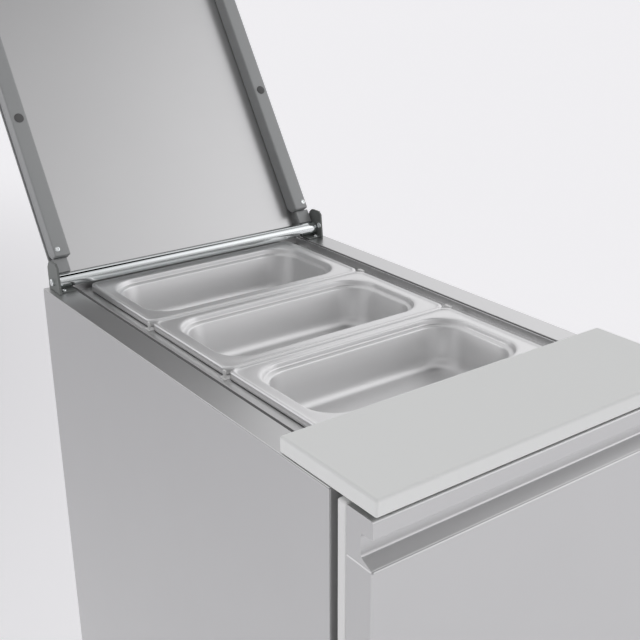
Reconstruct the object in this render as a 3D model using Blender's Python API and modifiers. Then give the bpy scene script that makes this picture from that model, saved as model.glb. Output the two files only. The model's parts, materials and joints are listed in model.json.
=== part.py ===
"""Sandwich prep table: a one-door refrigerated cabinet with a cold pan well, lid and board.

Metres, +Z up, front towards -Y. The origin is on the floor under the middle of the table as it
stands with its lid open. Run with: blender --background --python part.py
"""

import math

import bmesh
import bpy
from mathutils import Matrix, Vector

# ---- Driving dimensions ---------------------------------------------------------------------

WIDTH = 0.442  # over the side panels
DEPTH = 0.700  # board front to cabinet back
DECK_TOP = 0.840  # height of the steel deck that carries the board
GAP = 0.0003  # clearance kept between touching pieces
SHEET = 0.0012  # cabinet skin
DECK_SHEET = 0.0015
BASE_SHEET = 0.002
FRAME_SHEET = 0.0015

BODY_FRONT = 0.064  # distances named from here on run back from the board's front edge
CABINET_BASE = 0.112
CHAMBER_BASE = 0.335  # underside of the insulated chamber
CHAMBER_FLOOR = 0.372
CHAMBER_HALF = 0.178
CHAMBER_BACK = 0.668
DOORWAY_HALF = 0.176
DOORWAY_LOW = 0.374
DOORWAY_TOP = 0.790
LINER_SHEET = 0.0015
MACHINE_DOORWAY = (0.195, 0.130, 0.318)  # half width, low edge and high edge

RIB_DEPTH = 0.010
RIB_HEIGHT = 0.008
SHELF_FRONT = 0.085
SHELF_BACK = 0.545
SHELF_UNDER = 0.560
SHELF_HALF = 0.172
SHELF_BAYS = 9
WIRE = 0.005

BOARD_DEPTH = 0.141
BOARD_THICKNESS = 0.018

PAN_LENGTH = 0.325
PAN_WIDTH = 0.176
PAN_PITCH = 0.177
PAN_DEPTH = 0.065
PAN_FLANGE = 0.018
PAN_LIP = 0.0088
PAN_SHEET = 0.0008
PANS_FRONT = 0.154

WELL_HALF = 0.184
WELL_FRONT = 0.1475
WELL_BACK = 0.6915
WELL_SHEET = 0.0012
LEDGE_DROP = 0.0097  # the ledge that the pans stand on, below the deck
LEDGE_HALF = 0.150
LEDGE_FRONT = 0.166
LEDGE_BACK = 0.669
OPENING_HALF = 0.188
OPENING_FRONT = 0.145
OPENING_BACK = 0.694
SEAL_DROP = 0.0004  # top of the black bead between the deck and the well, below the deck
BAR_HALF = 0.006  # the bars that the pans' ends share
BAR_REACH = 0.168
BAR_HEIGHT = 0.010
BAR_PROUD = 0.0004
BAR_END_START = 0.1635  # raised ends that stand beside the pans' corners, smaller on the left
BAR_END_REACH = {"left": 0.1657, "right": BAR_REACH}
BAR_END_HALF = {"left": 0.0022, "right": 0.005}
BAR_END_DROP = 0.0005

HINGE_BACK = 0.681
HINGE_RISE = 0.0125  # lid axis above the deck
LID_OPEN = math.radians(123)
LID_REACH = 0.534
LID_HALF = 0.2065
LID_TAIL = 0.002  # how far the sheet runs behind the axis
LID_HEM = 0.010
LID_TOP = 0.0135  # outer face above the axis when closed
LID_SHEET = 0.0012
ROD_RADIUS = 0.0095
PIN_RADIUS = 0.005
ARM_INNER = 0.182
ARM_OUTER = 0.2045
ARM_LOW = -0.011
ARM_START = 0.030
ARM_CHAMFER = 0.008
STRAP_INNER = 0.186
STRAP_OUTER = 0.208
STRAP_SHEET = 0.006
EAR_INNER = 0.2105
EAR_SHEET = 0.003
EAR_FRONT = 0.661
EAR_BACK = 0.696
EAR_TOP = 0.040
FOOT_INNER = 0.189
FOOT_FRONT = 0.665
FOOT_BACK = 0.693
FOOT_SHEET = 0.0018

DOOR_FRONT = 0.004
DOOR_SPLIT = 0.040  # where the outer skin meets the inner panel
DOOR_BACK = 0.0535
DOOR_HALF = 0.2207
DOOR_LOW = 0.3305
DOOR_TOP = 0.8355
DOOR_SHEET = 0.0012
DOOR_PIVOT = (0.2075, 0.034)
GRIP_LOW = 0.786
GRIP_LIP = 0.018
FINGER_DEPTH = 0.016
GASKET_HALF = 0.200
GASKET_LOW = 0.350
GASKET_TOP = 0.815
GASKET_WIDTH = 0.014
HINGE_PIN = 0.004
HINGE_PLATE = (0.1955, 0.2195)  # from its inner to its outer edge
HINGE_PLATE_FRONT = 0.022
HINGE_PLATE_SHEET = 0.003
HINGE_LEG_INNER = 0.206
HINGE_LEG_SHEET = 0.0025

GRILLE_FRONT = 0.030
GRILLE_BACK = 0.0608
GRILLE_LOW = 0.118
GRILLE_TOP = 0.3268
LOUVRES = 6
LOUVRE_HALF = 0.185
LOUVRE_LOW = 0.140
LOUVRE_PITCH = 0.022
LOUVRE_HEIGHT = 0.010
CONTROL_LOW = (0.060, 0.2805)
CONTROL_HIGH = (0.140, 0.3105)
KEY_START = 0.108
KEY_PITCH = 0.011
KEY_HALF = (0.004, 0.0035)
ROCKER_LOW = (0.155, 0.285)
ROCKER_HIGH = (0.180, 0.306)
ROCKER_TILT = math.radians(7)

INLET = (-0.150, 0.170)  # x and z
INLET_RADIUS = 0.008
PIPE = (0.163, 0.640)  # where the suction pipe passes the chamber floor, and the drain below
PIPE_RADIUS = 0.004
DRAIN = (0.100, 0.605)
DRAIN_RADIUS = 0.007
DRAIN_LOW = 0.165
SHAFT = 0.003
FAN = (-0.055, 0.215)  # x and z of the condenser fan
COIL_FAN = (0.0, 0.530)
COMPRESSOR = (-0.095, 0.520)
COMPRESSOR_RADIUS = 0.080
COMPRESSOR_HEIGHT = 0.178
TRAY_LOW = (0.030, 0.560)
TRAY_HIGH = (0.195, 0.690)
TRAY_HEIGHT = 0.035

CASTOR_X = 0.168
CASTOR_BACKS = (0.120, 0.645)
CASTOR_TRAIL = 0.022
WHEEL_RADIUS = 0.0375
WHEEL_WIDTH = 0.025
WHEEL_STEPS = 24

FRONT_Y = -0.5 * (
    HINGE_BACK + LID_REACH * math.sin(LID_OPEN - math.pi / 2)
    + LID_TOP * math.cos(LID_OPEN - math.pi / 2)
)
INNER_HALF = WIDTH / 2 - SHEET - GAP
SHELL_TOP = DECK_TOP - DECK_SHEET - GAP
LEDGE_TOP = DECK_TOP - LEDGE_DROP
LEDGE_UNDER = LEDGE_TOP - WELL_SHEET
MARGIN = 0.01  # how far a cutter runs past the face that it opens
REAR_INSIDE = DEPTH - SHEET - GAP
WHEEL_CENTRE = WHEEL_RADIUS * math.cos(math.pi / WHEEL_STEPS)


def back(distance):
    """The Y of a point this far behind the board's front edge."""
    return FRONT_Y + distance


# ---- Scene and materials --------------------------------------------------------------------

for leftover in list(bpy.data.objects):
    bpy.data.objects.remove(leftover)

PARTS = bpy.data.collections.new("sandwich_prep_table")
CUTTERS = bpy.data.collections.new("cutters")
bpy.context.scene.collection.children.link(PARTS)
bpy.context.scene.collection.children.link(CUTTERS)
HELPERS = {}  # piece name -> the cutters that shape it


def finish(name, colour, metallic, roughness):
    """A Principled material of one colour."""
    material = bpy.data.materials.new(name)
    material.use_nodes = True
    shader = material.node_tree.nodes["Principled BSDF"]
    shader.inputs["Base Color"].default_value = (*colour, 1)
    shader.inputs["Metallic"].default_value = metallic
    shader.inputs["Roughness"].default_value = roughness
    return material


STEEL = (0.60, 0.60, 0.60)
DARK_STEEL = (0.16, 0.16, 0.17)
WHITE = (0.80, 0.81, 0.80)
BLACK = (0.02, 0.02, 0.022)
FOAM = (0.78, 0.72, 0.52)
COPPER = (0.72, 0.42, 0.30)


def metal(name, colour=STEEL, roughness=0.32):
    return finish(name, colour, 1.0, roughness)


def plastic(name, colour=BLACK, roughness=0.5):
    return finish(name, colour, 0.0, roughness)


# ---- Modelling helpers ----------------------------------------------------------------------


def add(name, mesh, material=None):
    """Puts a mesh in the scene as a part, or as a cutter when it has no material."""
    piece = bpy.data.objects.new(name, mesh)
    if material is None:
        piece.hide_render = True
        piece.display_type = "WIRE"
        CUTTERS.objects.link(piece)
    else:
        mesh.materials.append(material)
        PARTS.objects.link(piece)
    return piece


def from_bmesh(name, shape, material=None):
    mesh = bpy.data.meshes.new(name)
    shape.to_mesh(mesh)
    shape.free()
    return add(name, mesh, material)


def box(name, low, high, material=None, bevel=0.0, segments=2):
    """A box between two opposite corners."""
    low, high = Vector(low), Vector(high)
    place = Matrix.Translation((low + high) / 2) @ Matrix.Diagonal((*(high - low), 1))
    shape = bmesh.new()
    bmesh.ops.create_cube(shape, size=1, matrix=place)
    piece = from_bmesh(name, shape, material)
    if bevel:
        rounding = piece.modifiers.new("rounding", "BEVEL")
        rounding.width = bevel
        rounding.segments = segments
    return piece


def cylinder(name, centre, axis, length, radius, material=None, steps=24):
    """A cylinder centred on a point, along X, Y or Z."""
    turn = Vector((0, 0, 1)).rotation_difference(Vector(axis)).to_matrix().to_4x4()
    shape = bmesh.new()
    bmesh.ops.create_cone(
        shape, cap_ends=True, segments=steps, radius1=radius, radius2=radius,
        depth=length, matrix=Matrix.Translation(centre) @ turn,
    )
    return from_bmesh(name, shape, material)


def prism(name, outline, low, high, across, material=None):
    """A flat outline pushed from low to high along X ("X") or Y ("Y").

    Outline points are (y, z) across X and (x, z) across Y.
    """
    shape = bmesh.new()
    if across == "X":
        loop = [shape.verts.new((low, p, q)) for p, q in outline]
    else:
        loop = [shape.verts.new((p, low, q)) for p, q in outline]
    face = shape.faces.new(loop)
    travel = Vector((high - low, 0, 0)) if across == "X" else Vector((0, high - low, 0))
    grown = bmesh.ops.extrude_face_region(shape, geom=[face])["geom"]
    moved = [v for v in grown if isinstance(v, bmesh.types.BMVert)]
    bmesh.ops.translate(shape, verts=moved, vec=travel)
    bmesh.ops.recalc_face_normals(shape, faces=shape.faces)
    return from_bmesh(name, shape, material)


def turned(name, profile, place, material=None, steps=24):
    """A profile of (radius, height) points, top to bottom, turned about +Z, then placed."""
    mesh = bpy.data.meshes.new(name)
    mesh.from_pydata(
        [(r, 0, h) for r, h in profile], [(i, i + 1) for i in range(len(profile) - 1)], []
    )
    piece = add(name, mesh, material)
    piece.matrix_world = place
    lathe = piece.modifiers.new("turning", "SCREW")
    lathe.steps = steps
    lathe.render_steps = steps
    lathe.use_merge_vertices = True
    lathe.merge_threshold = 0.00001
    return piece


def combine(piece, others, operation):
    for number, other in enumerate(others):
        change = piece.modifiers.new(f"{operation.lower()}_{number}", "BOOLEAN")
        change.operation = operation
        change.object = other
        HELPERS.setdefault(piece.name, []).append(other)
    return piece


def cut(piece, *others):
    return combine(piece, others, "DIFFERENCE")


def unite(piece, *others):
    return combine(piece, others, "UNION")


def holed_plate(name, low, high, hole_low, hole_high, material, across="Y"):
    """A box with a rectangular hole right through it along Y or Z."""
    plate = box(name, low, high, material)
    start, end = list(hole_low), list(hole_high)
    index = 1 if across == "Y" else 2
    start[index] = low[index] - MARGIN
    end[index] = high[index] + MARGIN
    return cut(plate, box(f"{name}_hole", start, end))


def axis_empty(name, position, turn=0.0, parent=None):
    """An empty on a joint's axis; turn is its rotation about X."""
    empty = bpy.data.objects.new(name, None)
    empty.empty_display_size = 0.03
    PARTS.objects.link(empty)
    if parent is not None:
        empty.parent = parent
        position = Vector(position) - parent.location
    empty.location = position
    empty.rotation_euler.x = turn
    return empty


def hang(piece, empty, world=(0, 0, 0), local=False):
    """Parents a piece and its cutters to a joint's empty.

    A piece built in place keeps its place; a local one is built about the empty.
    """
    for item in [piece, *HELPERS.get(piece.name, [])]:
        item.parent = empty
        if not local:
            item.matrix_parent_inverse = Matrix.Translation(-Vector(world))


def mirrored(side, low, high):
    """An X range on the left (-1) or right (1), in rising order."""
    return (low, high) if side > 0 else (-high, -low)


SIDES = (("left", -1), ("right", 1))


# ---- Cabinet --------------------------------------------------------------------------------


def make_cabinet():
    for word, side in SIDES:
        x0, x1 = mirrored(side, WIDTH / 2 - SHEET, WIDTH / 2)
        box(
            f"side_panel_{word}", (x0, back(BODY_FRONT), CABINET_BASE),
            (x1, back(DEPTH), SHELL_TOP), metal(f"side_panel_{word}"),
        )

    rear = box(
        "rear_panel", (-INNER_HALF, back(DEPTH - SHEET), CABINET_BASE),
        (INNER_HALF, back(DEPTH), SHELL_TOP), metal("rear_panel"),
    )
    inlet_hole = cylinder(
        "inlet_hole", (INLET[0], back(DEPTH), INLET[1]), (0, 1, 0), 0.02, INLET_RADIUS + GAP
    )
    cut(rear, inlet_hole)

    box(
        "base_pan", (-INNER_HALF, back(BODY_FRONT), CABINET_BASE),
        (INNER_HALF, back(REAR_INSIDE), CABINET_BASE + BASE_SHEET), metal("base_pan"),
    )

    frame = holed_plate(
        "front_frame",
        (-INNER_HALF, back(BODY_FRONT), CABINET_BASE + BASE_SHEET + GAP),
        (INNER_HALF, back(BODY_FRONT + FRAME_SHEET), SHELL_TOP),
        (-DOORWAY_HALF, 0, DOORWAY_LOW), (DOORWAY_HALF, 0, DOORWAY_TOP), metal("front_frame"),
    )
    half, low, high = MACHINE_DOORWAY
    machine_opening = box(
        "machine_opening", (-half, back(BODY_FRONT) - MARGIN, low),
        (half, back(BODY_FRONT) + FRAME_SHEET + MARGIN, high),
    )
    cut(frame, machine_opening)


def floor_holes(prefix):
    """Cutters for the suction pipe and the drain through the chamber's floor."""
    middle = CHAMBER_FLOOR - 0.02
    pipe = cylinder(
        f"{prefix}_pipe_hole", (PIPE[0], back(PIPE[1]), middle), (0, 0, 1), 0.12,
        PIPE_RADIUS + GAP, steps=12,
    )
    drain = cylinder(
        f"{prefix}_drain_hole", (DRAIN[0], back(DRAIN[1]), middle), (0, 0, 1), 0.12,
        DRAIN_RADIUS + GAP, steps=16,
    )
    return pipe, drain


def make_chamber():
    """The foam shell and the steel liner with its shelf ribs."""
    front = BODY_FRONT + FRAME_SHEET + GAP
    rail_back = OPENING_FRONT - 0.002
    foam = box(
        "insulation", (-INNER_HALF + GAP, back(front), CHAMBER_BASE),
        (INNER_HALF - GAP, back(REAR_INSIDE), SHELL_TOP), plastic("insulation", FOAM, 0.9),
    )
    cavity = box(
        "cavity", (-CHAMBER_HALF, back(front) - 0.05, CHAMBER_FLOOR),
        (CHAMBER_HALF, back(CHAMBER_BACK), DOORWAY_TOP),
    )
    shaft = box(
        "well_shaft", (-CHAMBER_HALF, back(rail_back), CHAMBER_FLOOR + 0.05),
        (CHAMBER_HALF, back(CHAMBER_BACK), SHELL_TOP + 0.05),
    )
    seat = box(
        "well_seat", (-WELL_HALF - GAP, back(rail_back), LEDGE_UNDER - GAP),
        (WELL_HALF + GAP, back(WELL_BACK + GAP), SHELL_TOP + 0.05),
    )
    cut(foam, cavity, shaft, seat, *floor_holes("foam"))

    outer = CHAMBER_HALF - GAP
    liner = box(
        "liner", (-outer, back(front), CHAMBER_FLOOR + GAP),
        (outer, back(CHAMBER_BACK - GAP), LEDGE_UNDER - 2 * GAP), metal("liner"),
    )
    inner = outer - LINER_SHEET
    floor = CHAMBER_FLOOR + GAP + LINER_SHEET
    inside = box(
        "liner_inside", (-inner, back(front) - 0.05, floor),
        (inner, back(CHAMBER_BACK - GAP - LINER_SHEET), SHELL_TOP + 0.05),
    )
    rail_space = box(
        "liner_rail_space", (-CHAMBER_HALF - 0.01, back(front) - 0.05, DOORWAY_TOP - GAP),
        (CHAMBER_HALF + 0.01, back(rail_back + GAP), SHELL_TOP + 0.05),
    )
    cut(liner, inside, rail_space)
    ribs = []
    for word, side in SIDES:
        x0, x1 = mirrored(side, inner - RIB_DEPTH, inner + LINER_SHEET / 2)
        ribs.append(
            box(
                f"shelf_rib_{word}", (x0, back(SHELF_FRONT), SHELF_UNDER - GAP - RIB_HEIGHT),
                (x1, back(SHELF_BACK), SHELF_UNDER - GAP),
            )
        )
    unite(liner, *ribs)
    cut(liner, *floor_holes("liner"))


def make_shelf():
    """A wire shelf: a frame with bars that run front to back."""
    shelf = box(
        "wire_shelf", (-SHELF_HALF, back(SHELF_FRONT), SHELF_UNDER),
        (SHELF_HALF, back(SHELF_BACK), SHELF_UNDER + WIRE), metal("wire_shelf"),
    )
    pitch = (2 * SHELF_HALF - WIRE) / SHELF_BAYS
    slots = []
    for bay in range(SHELF_BAYS):
        x0 = -SHELF_HALF + WIRE + bay * pitch
        slots.append(
            box(
                f"shelf_bay_{bay}", (x0, back(SHELF_FRONT) + WIRE, SHELF_UNDER - MARGIN),
                (x0 + pitch - WIRE, back(SHELF_BACK) - WIRE, SHELF_UNDER + WIRE + MARGIN),
            )
        )
    cut(shelf, *slots)


# ---- Deck, well and pans --------------------------------------------------------------------


def make_deck():
    holed_plate(
        "deck_top", (-WIDTH / 2, back(BODY_FRONT), DECK_TOP - DECK_SHEET),
        (WIDTH / 2, back(DEPTH), DECK_TOP),
        (-OPENING_HALF, back(OPENING_FRONT), 0), (OPENING_HALF, back(OPENING_BACK), 0),
        metal("deck_top"), across="Z",
    )
    rim_top = DECK_TOP - GAP
    frame = box(
        "well_frame", (-WELL_HALF, back(WELL_FRONT), LEDGE_UNDER),
        (WELL_HALF, back(WELL_BACK), rim_top), metal("well_frame"),
    )
    recess = box(
        "well_recess",
        (-WELL_HALF + WELL_SHEET, back(WELL_FRONT + WELL_SHEET), LEDGE_TOP),
        (WELL_HALF - WELL_SHEET, back(WELL_BACK - WELL_SHEET), rim_top + 0.01),
    )
    well = box(
        "well_hole", (-LEDGE_HALF, back(LEDGE_FRONT), LEDGE_UNDER - 0.01),
        (LEDGE_HALF, back(LEDGE_BACK), rim_top + 0.02),
    )
    notches = []
    for number, word in enumerate(("front", "rear")):
        middle = back(PANS_FRONT + (number + 1) * PAN_PITCH - 0.5 * (PAN_PITCH - PAN_WIDTH))
        bar = box(
            f"divider_bar_{word}",
            (-BAR_REACH, middle - BAR_HALF, LEDGE_TOP + BAR_PROUD - BAR_HEIGHT),
            (BAR_REACH, middle + BAR_HALF, LEDGE_TOP + BAR_PROUD),
            plastic(f"divider_bar_{word}", WHITE, 0.5),
        )
        for side_word, side in SIDES:
            x0, x1 = mirrored(side, BAR_END_START, BAR_END_REACH[side_word])
            half = BAR_END_HALF[side_word]
            raised_end = box(
                f"bar_end_{word}_{side_word}", (x0, middle - half, LEDGE_TOP - BAR_PROUD),
                (x1, middle + half, DECK_TOP - BAR_END_DROP),
            )
            unite(bar, raised_end)
        notches.append(
            box(
                f"bar_notch_{word}",
                (-BAR_REACH - GAP, middle - BAR_HALF - GAP, LEDGE_UNDER - MARGIN),
                (BAR_REACH + GAP, middle + BAR_HALF + GAP, LEDGE_TOP + MARGIN),
            )
        )
    cut(frame, recess, well, *notches)


def make_well_seal():
    """A black bead that fills the slot between the deck and the well frame."""
    holed_plate(
        "well_seal",
        (-OPENING_HALF + GAP, back(OPENING_FRONT + GAP), SHELL_TOP + GAP),
        (OPENING_HALF - GAP, back(OPENING_BACK - GAP), DECK_TOP - SEAL_DROP),
        (-WELL_HALF - 2 * GAP, back(WELL_FRONT - 2 * GAP), 0),
        (WELL_HALF + 2 * GAP, back(WELL_BACK + 2 * GAP), 0), plastic("well_seal", BLACK, 0.7),
        across="Z",
    )


def rounded_rectangle(half_x, half_y, radius, arc_steps=6):
    """Points of a rectangle with rounded corners, anticlockwise."""
    points = []
    for corner, (sx, sy) in enumerate(((1, 1), (-1, 1), (-1, -1), (1, -1))):
        for step in range(arc_steps + 1):
            angle = math.pi / 2 * (corner + step / arc_steps)
            points.append(
                (
                    sx * (half_x - radius) + radius * math.cos(angle),
                    sy * (half_y - radius) + radius * math.sin(angle),
                )
            )
    return points


def make_pan(word, number):
    """A pressed gastronorm pan: rolled lip, flat flange, step, tapered wall and round bottom."""
    corner = 0.011
    body_corner = 0.042
    flange = PAN_FLANGE
    sections = [  # inset from the rim, height under the flange, corner radius
        (0.0, PAN_LIP, corner),
        (0.0, 0.0030, corner),
        (0.0008, 0.0010, corner),
        (0.0026, 0.0, corner),
        (flange - 0.0015, 0.0, body_corner),
        (flange, 0.0015, body_corner),
        (flange + 0.0004, 0.0075, body_corner),
        (flange + 0.0035, 0.0105, body_corner),
        (flange + 0.0050, 0.0140, body_corner - 0.002),
        (flange + 0.0095, PAN_DEPTH - 0.016, body_corner - 0.006),
        (flange + 0.0130, PAN_DEPTH - 0.0055, body_corner - 0.009),
        (flange + 0.0235, PAN_DEPTH - PAN_SHEET, body_corner - 0.018),
    ]
    shape = bmesh.new()
    rings = []
    for inset, drop, radius in sections:
        outline = rounded_rectangle(PAN_LENGTH / 2 - inset, PAN_WIDTH / 2 - inset, radius)
        rings.append([shape.verts.new((x, y, -drop)) for x, y in outline])
    count = len(rings[0])
    for upper, lower in zip(rings, rings[1:]):
        for i in range(count):
            j = (i + 1) % count
            shape.faces.new((upper[i], lower[i], lower[j], upper[j]))
    shape.faces.new(reversed(rings[-1]))
    bmesh.ops.recalc_face_normals(shape, faces=shape.faces)
    pan = from_bmesh(f"pan_{word}", shape, metal(f"pan_{word}"))
    shell = pan.modifiers.new("sheet", "SOLIDIFY")
    shell.thickness = PAN_SHEET
    shell.offset = -1.0
    pan.data.shade_smooth()
    middle = (0, back(PANS_FRONT + PAN_WIDTH / 2 + number * PAN_PITCH), DECK_TOP)
    hang(pan, axis_empty(f"pan_{word}_lift", middle), local=True)


def make_pans():
    for number, word in enumerate(("front", "middle", "rear")):
        make_pan(word, number)


def make_board():
    place = (0, back(BOARD_DEPTH / 2), DECK_TOP)
    board = box(
        "cutting_board", (-WIDTH / 2, back(0), DECK_TOP + GAP),
        (WIDTH / 2, back(BOARD_DEPTH), DECK_TOP + GAP + BOARD_THICKNESS),
        plastic("cutting_board", WHITE, 0.45), bevel=0.003, segments=3,
    )
    hang(board, axis_empty("board_lift", place), world=place)


# ---- Lid ------------------------------------------------------------------------------------


def make_brackets():
    """An ear each side that carries the lid's rod, with a foot under the rod on the deck."""
    deck = DECK_TOP + GAP
    outline = [
        (EAR_FRONT, 0.0), (EAR_BACK, 0.0), (EAR_BACK, EAR_TOP - 0.0105),
        (EAR_BACK - 0.0035, EAR_TOP - 0.0040), (EAR_BACK - 0.0090, EAR_TOP),
        (EAR_FRONT + 0.0090, EAR_TOP), (EAR_FRONT + 0.0038, EAR_TOP - 0.0045),
    ]
    for word, side in SIDES:
        x0, x1 = mirrored(side, EAR_INNER, EAR_INNER + EAR_SHEET)
        ear = prism(
            f"hinge_bracket_{word}", [(back(d), deck + z) for d, z in outline], x0, x1, "X",
            metal(f"hinge_bracket_{word}", DARK_STEEL, 0.4),
        )
        f0, f1 = mirrored(side, FOOT_INNER, EAR_INNER + EAR_SHEET / 2)
        foot = box(
            f"bracket_foot_{word}", (f0, back(FOOT_FRONT), deck),
            (f1, back(FOOT_BACK), deck + FOOT_SHEET),
        )
        bore = cylinder(
            f"bracket_bore_{word}",
            (side * (EAR_INNER + EAR_SHEET / 2), back(HINGE_BACK), DECK_TOP + HINGE_RISE),
            (1, 0, 0), EAR_SHEET + 2 * MARGIN, PIN_RADIUS + GAP, steps=16,
        )
        unite(ear, foot)
        cut(ear, bore)


def make_lid():
    """Built closed and flat about its axis, then turned open by the hinge's empty."""
    axis = (0, back(HINGE_BACK), DECK_TOP + HINGE_RISE)
    hinge = axis_empty("lid_hinge", axis, -LID_OPEN)

    half = EAR_INNER - 0.0008
    end = EAR_INNER + EAR_SHEET + 0.003
    rod_profile = [
        (0.0, end), (PIN_RADIUS, end), (PIN_RADIUS, half), (ROD_RADIUS, half),
        (ROD_RADIUS, -half), (PIN_RADIUS, -half), (PIN_RADIUS, -end), (0.0, -end),
    ]
    rod = turned(
        "cross_rod", rod_profile, Matrix.Rotation(math.pi / 2, 4, "Y"),
        metal("cross_rod", (0.66, 0.68, 0.68), 0.2), steps=20,
    )
    hang(rod, hinge, local=True)

    sheet_low = LID_TOP - LID_SHEET
    outline = [
        (LID_TAIL, sheet_low), (LID_TAIL, LID_TOP), (-LID_REACH, LID_TOP), (-LID_REACH, ARM_LOW),
        (-LID_REACH + LID_HEM, ARM_LOW), (-LID_REACH + LID_HEM, ARM_LOW + LID_SHEET),
        (-LID_REACH + LID_SHEET, ARM_LOW + LID_SHEET), (-LID_REACH + LID_SHEET, sheet_low),
    ]
    panel = prism("lid_panel", outline, -LID_HALF, LID_HALF, "X", metal("lid_panel"))
    hang(panel, hinge, local=True)

    arm_top = sheet_low - GAP
    arm_end = LID_REACH - LID_HEM - GAP
    arm_outline = [
        (-ARM_START, ARM_LOW), (-ARM_START, arm_top - ARM_CHAMFER),
        (-ARM_START - ARM_CHAMFER, arm_top), (-arm_end, arm_top), (-arm_end, ARM_LOW),
    ]
    for word, side in SIDES:
        x0, x1 = mirrored(side, ARM_INNER, ARM_OUTER)
        arm = prism(f"lid_arm_{word}", arm_outline, x0, x1, "X", metal(f"lid_arm_{word}"))
        hang(arm, hinge, local=True)
        s0, s1 = mirrored(side, STRAP_INNER, STRAP_OUTER)
        strap = box(
            f"hinge_strap_{word}", (s0, -ARM_START + GAP, -STRAP_SHEET / 2),
            (s1, -ROD_RADIUS - GAP, STRAP_SHEET / 2), metal(f"hinge_strap_{word}"),
        )
        hang(strap, hinge, local=True)


# ---- Door -----------------------------------------------------------------------------------


def make_door():
    pivot = (DOOR_PIVOT[0], back(DOOR_PIVOT[1]), DOOR_LOW)
    hinge = axis_empty("door_hinge", pivot)
    pin_holes = {
        word: cylinder(
            f"door_pin_hole_{word}", (pivot[0], pivot[1], height), (0, 0, 1), 0.026,
            HINGE_PIN + GAP, steps=12,
        )
        for word, height in (("low", DOOR_LOW), ("core", DOOR_LOW + 0.001), ("top", DOOR_TOP))
    }

    skin = box(
        "door_outer_skin", (-DOOR_HALF, back(DOOR_FRONT), DOOR_LOW),
        (DOOR_HALF, back(DOOR_SPLIT), GRIP_LOW - GAP), metal("door_outer_skin"),
    )
    hollow = box(
        "door_hollow", (-DOOR_HALF + DOOR_SHEET, back(DOOR_FRONT) + DOOR_SHEET,
                        DOOR_LOW + DOOR_SHEET),
        (DOOR_HALF - DOOR_SHEET, back(DOOR_SPLIT) + 0.01, GRIP_LOW - GAP - DOOR_SHEET),
    )
    cut(skin, hollow, pin_holes["low"])

    inset = DOOR_SHEET + GAP
    core = box(
        "door_core", (-DOOR_HALF + inset, back(DOOR_FRONT) + inset, DOOR_LOW + inset),
        (DOOR_HALF - inset, back(DOOR_SPLIT), GRIP_LOW - GAP - inset),
        plastic("door_core", FOAM, 0.9),
    )
    cut(core, pin_holes["core"])

    outline = [
        (DOOR_FRONT, GRIP_LOW), (DOOR_SPLIT, GRIP_LOW), (DOOR_SPLIT, DOOR_TOP),
        (DOOR_FRONT, DOOR_TOP), (DOOR_FRONT, DOOR_TOP - GRIP_LIP),
        (DOOR_FRONT + FINGER_DEPTH, DOOR_TOP - GRIP_LIP),
        (DOOR_FRONT + FINGER_DEPTH, GRIP_LOW + FINGER_DEPTH / 2),
    ]
    grip = prism(
        "door_grip", [(back(d), z) for d, z in outline], -DOOR_HALF, DOOR_HALF, "X",
        metal("door_grip"),
    )
    cut(grip, pin_holes["top"])

    panel = box(
        "door_inner_panel", (-DOOR_HALF, back(DOOR_SPLIT) + GAP, DOOR_LOW),
        (DOOR_HALF, back(DOOR_BACK), DOOR_TOP), plastic("door_inner_panel", WHITE, 0.5),
    )

    gasket = holed_plate(
        "door_gasket", (-GASKET_HALF, back(DOOR_BACK) + GAP, GASKET_LOW),
        (GASKET_HALF, back(BODY_FRONT) - GAP, GASKET_TOP),
        (-GASKET_HALF + GASKET_WIDTH, 0, GASKET_LOW + GASKET_WIDTH),
        (GASKET_HALF - GASKET_WIDTH, 0, GASKET_TOP - GASKET_WIDTH),
        plastic("door_gasket", (0.12, 0.12, 0.12), 0.7),
    )
    for piece in (skin, core, grip, panel, gasket):
        hang(piece, hinge, world=pivot)


def make_door_hinges():
    """An angle plate with a pin, above and below the door."""
    wall = back(BODY_FRONT) - GAP
    places = (("top", DOOR_TOP + GAP, 1, 0.034), ("bottom", DOOR_LOW - GAP, -1, 0.030))
    for word, face, up, leg_drop in places:
        outside = face + up * HINGE_PLATE_SHEET
        z0, z1 = sorted((face, outside))
        plate = box(
            f"door_hinge_{word}", (HINGE_PLATE[0], back(HINGE_PLATE_FRONT), z0),
            (HINGE_PLATE[1], wall, z1), metal(f"door_hinge_{word}"),
        )
        leg = box(
            f"hinge_leg_{word}", (HINGE_LEG_INNER, wall - HINGE_LEG_SHEET, face - leg_drop),
            (HINGE_PLATE[1], wall, outside),
        )
        pin_low, pin_high = sorted((face + up * HINGE_PLATE_SHEET / 2, face - up * 0.010))
        pin = cylinder(
            f"hinge_pin_{word}",
            (DOOR_PIVOT[0], back(DOOR_PIVOT[1]), (pin_low + pin_high) / 2), (0, 0, 1),
            pin_high - pin_low, HINGE_PIN, steps=12,
        )
        unite(plate, leg, pin)


# ---- Machine compartment --------------------------------------------------------------------


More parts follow.
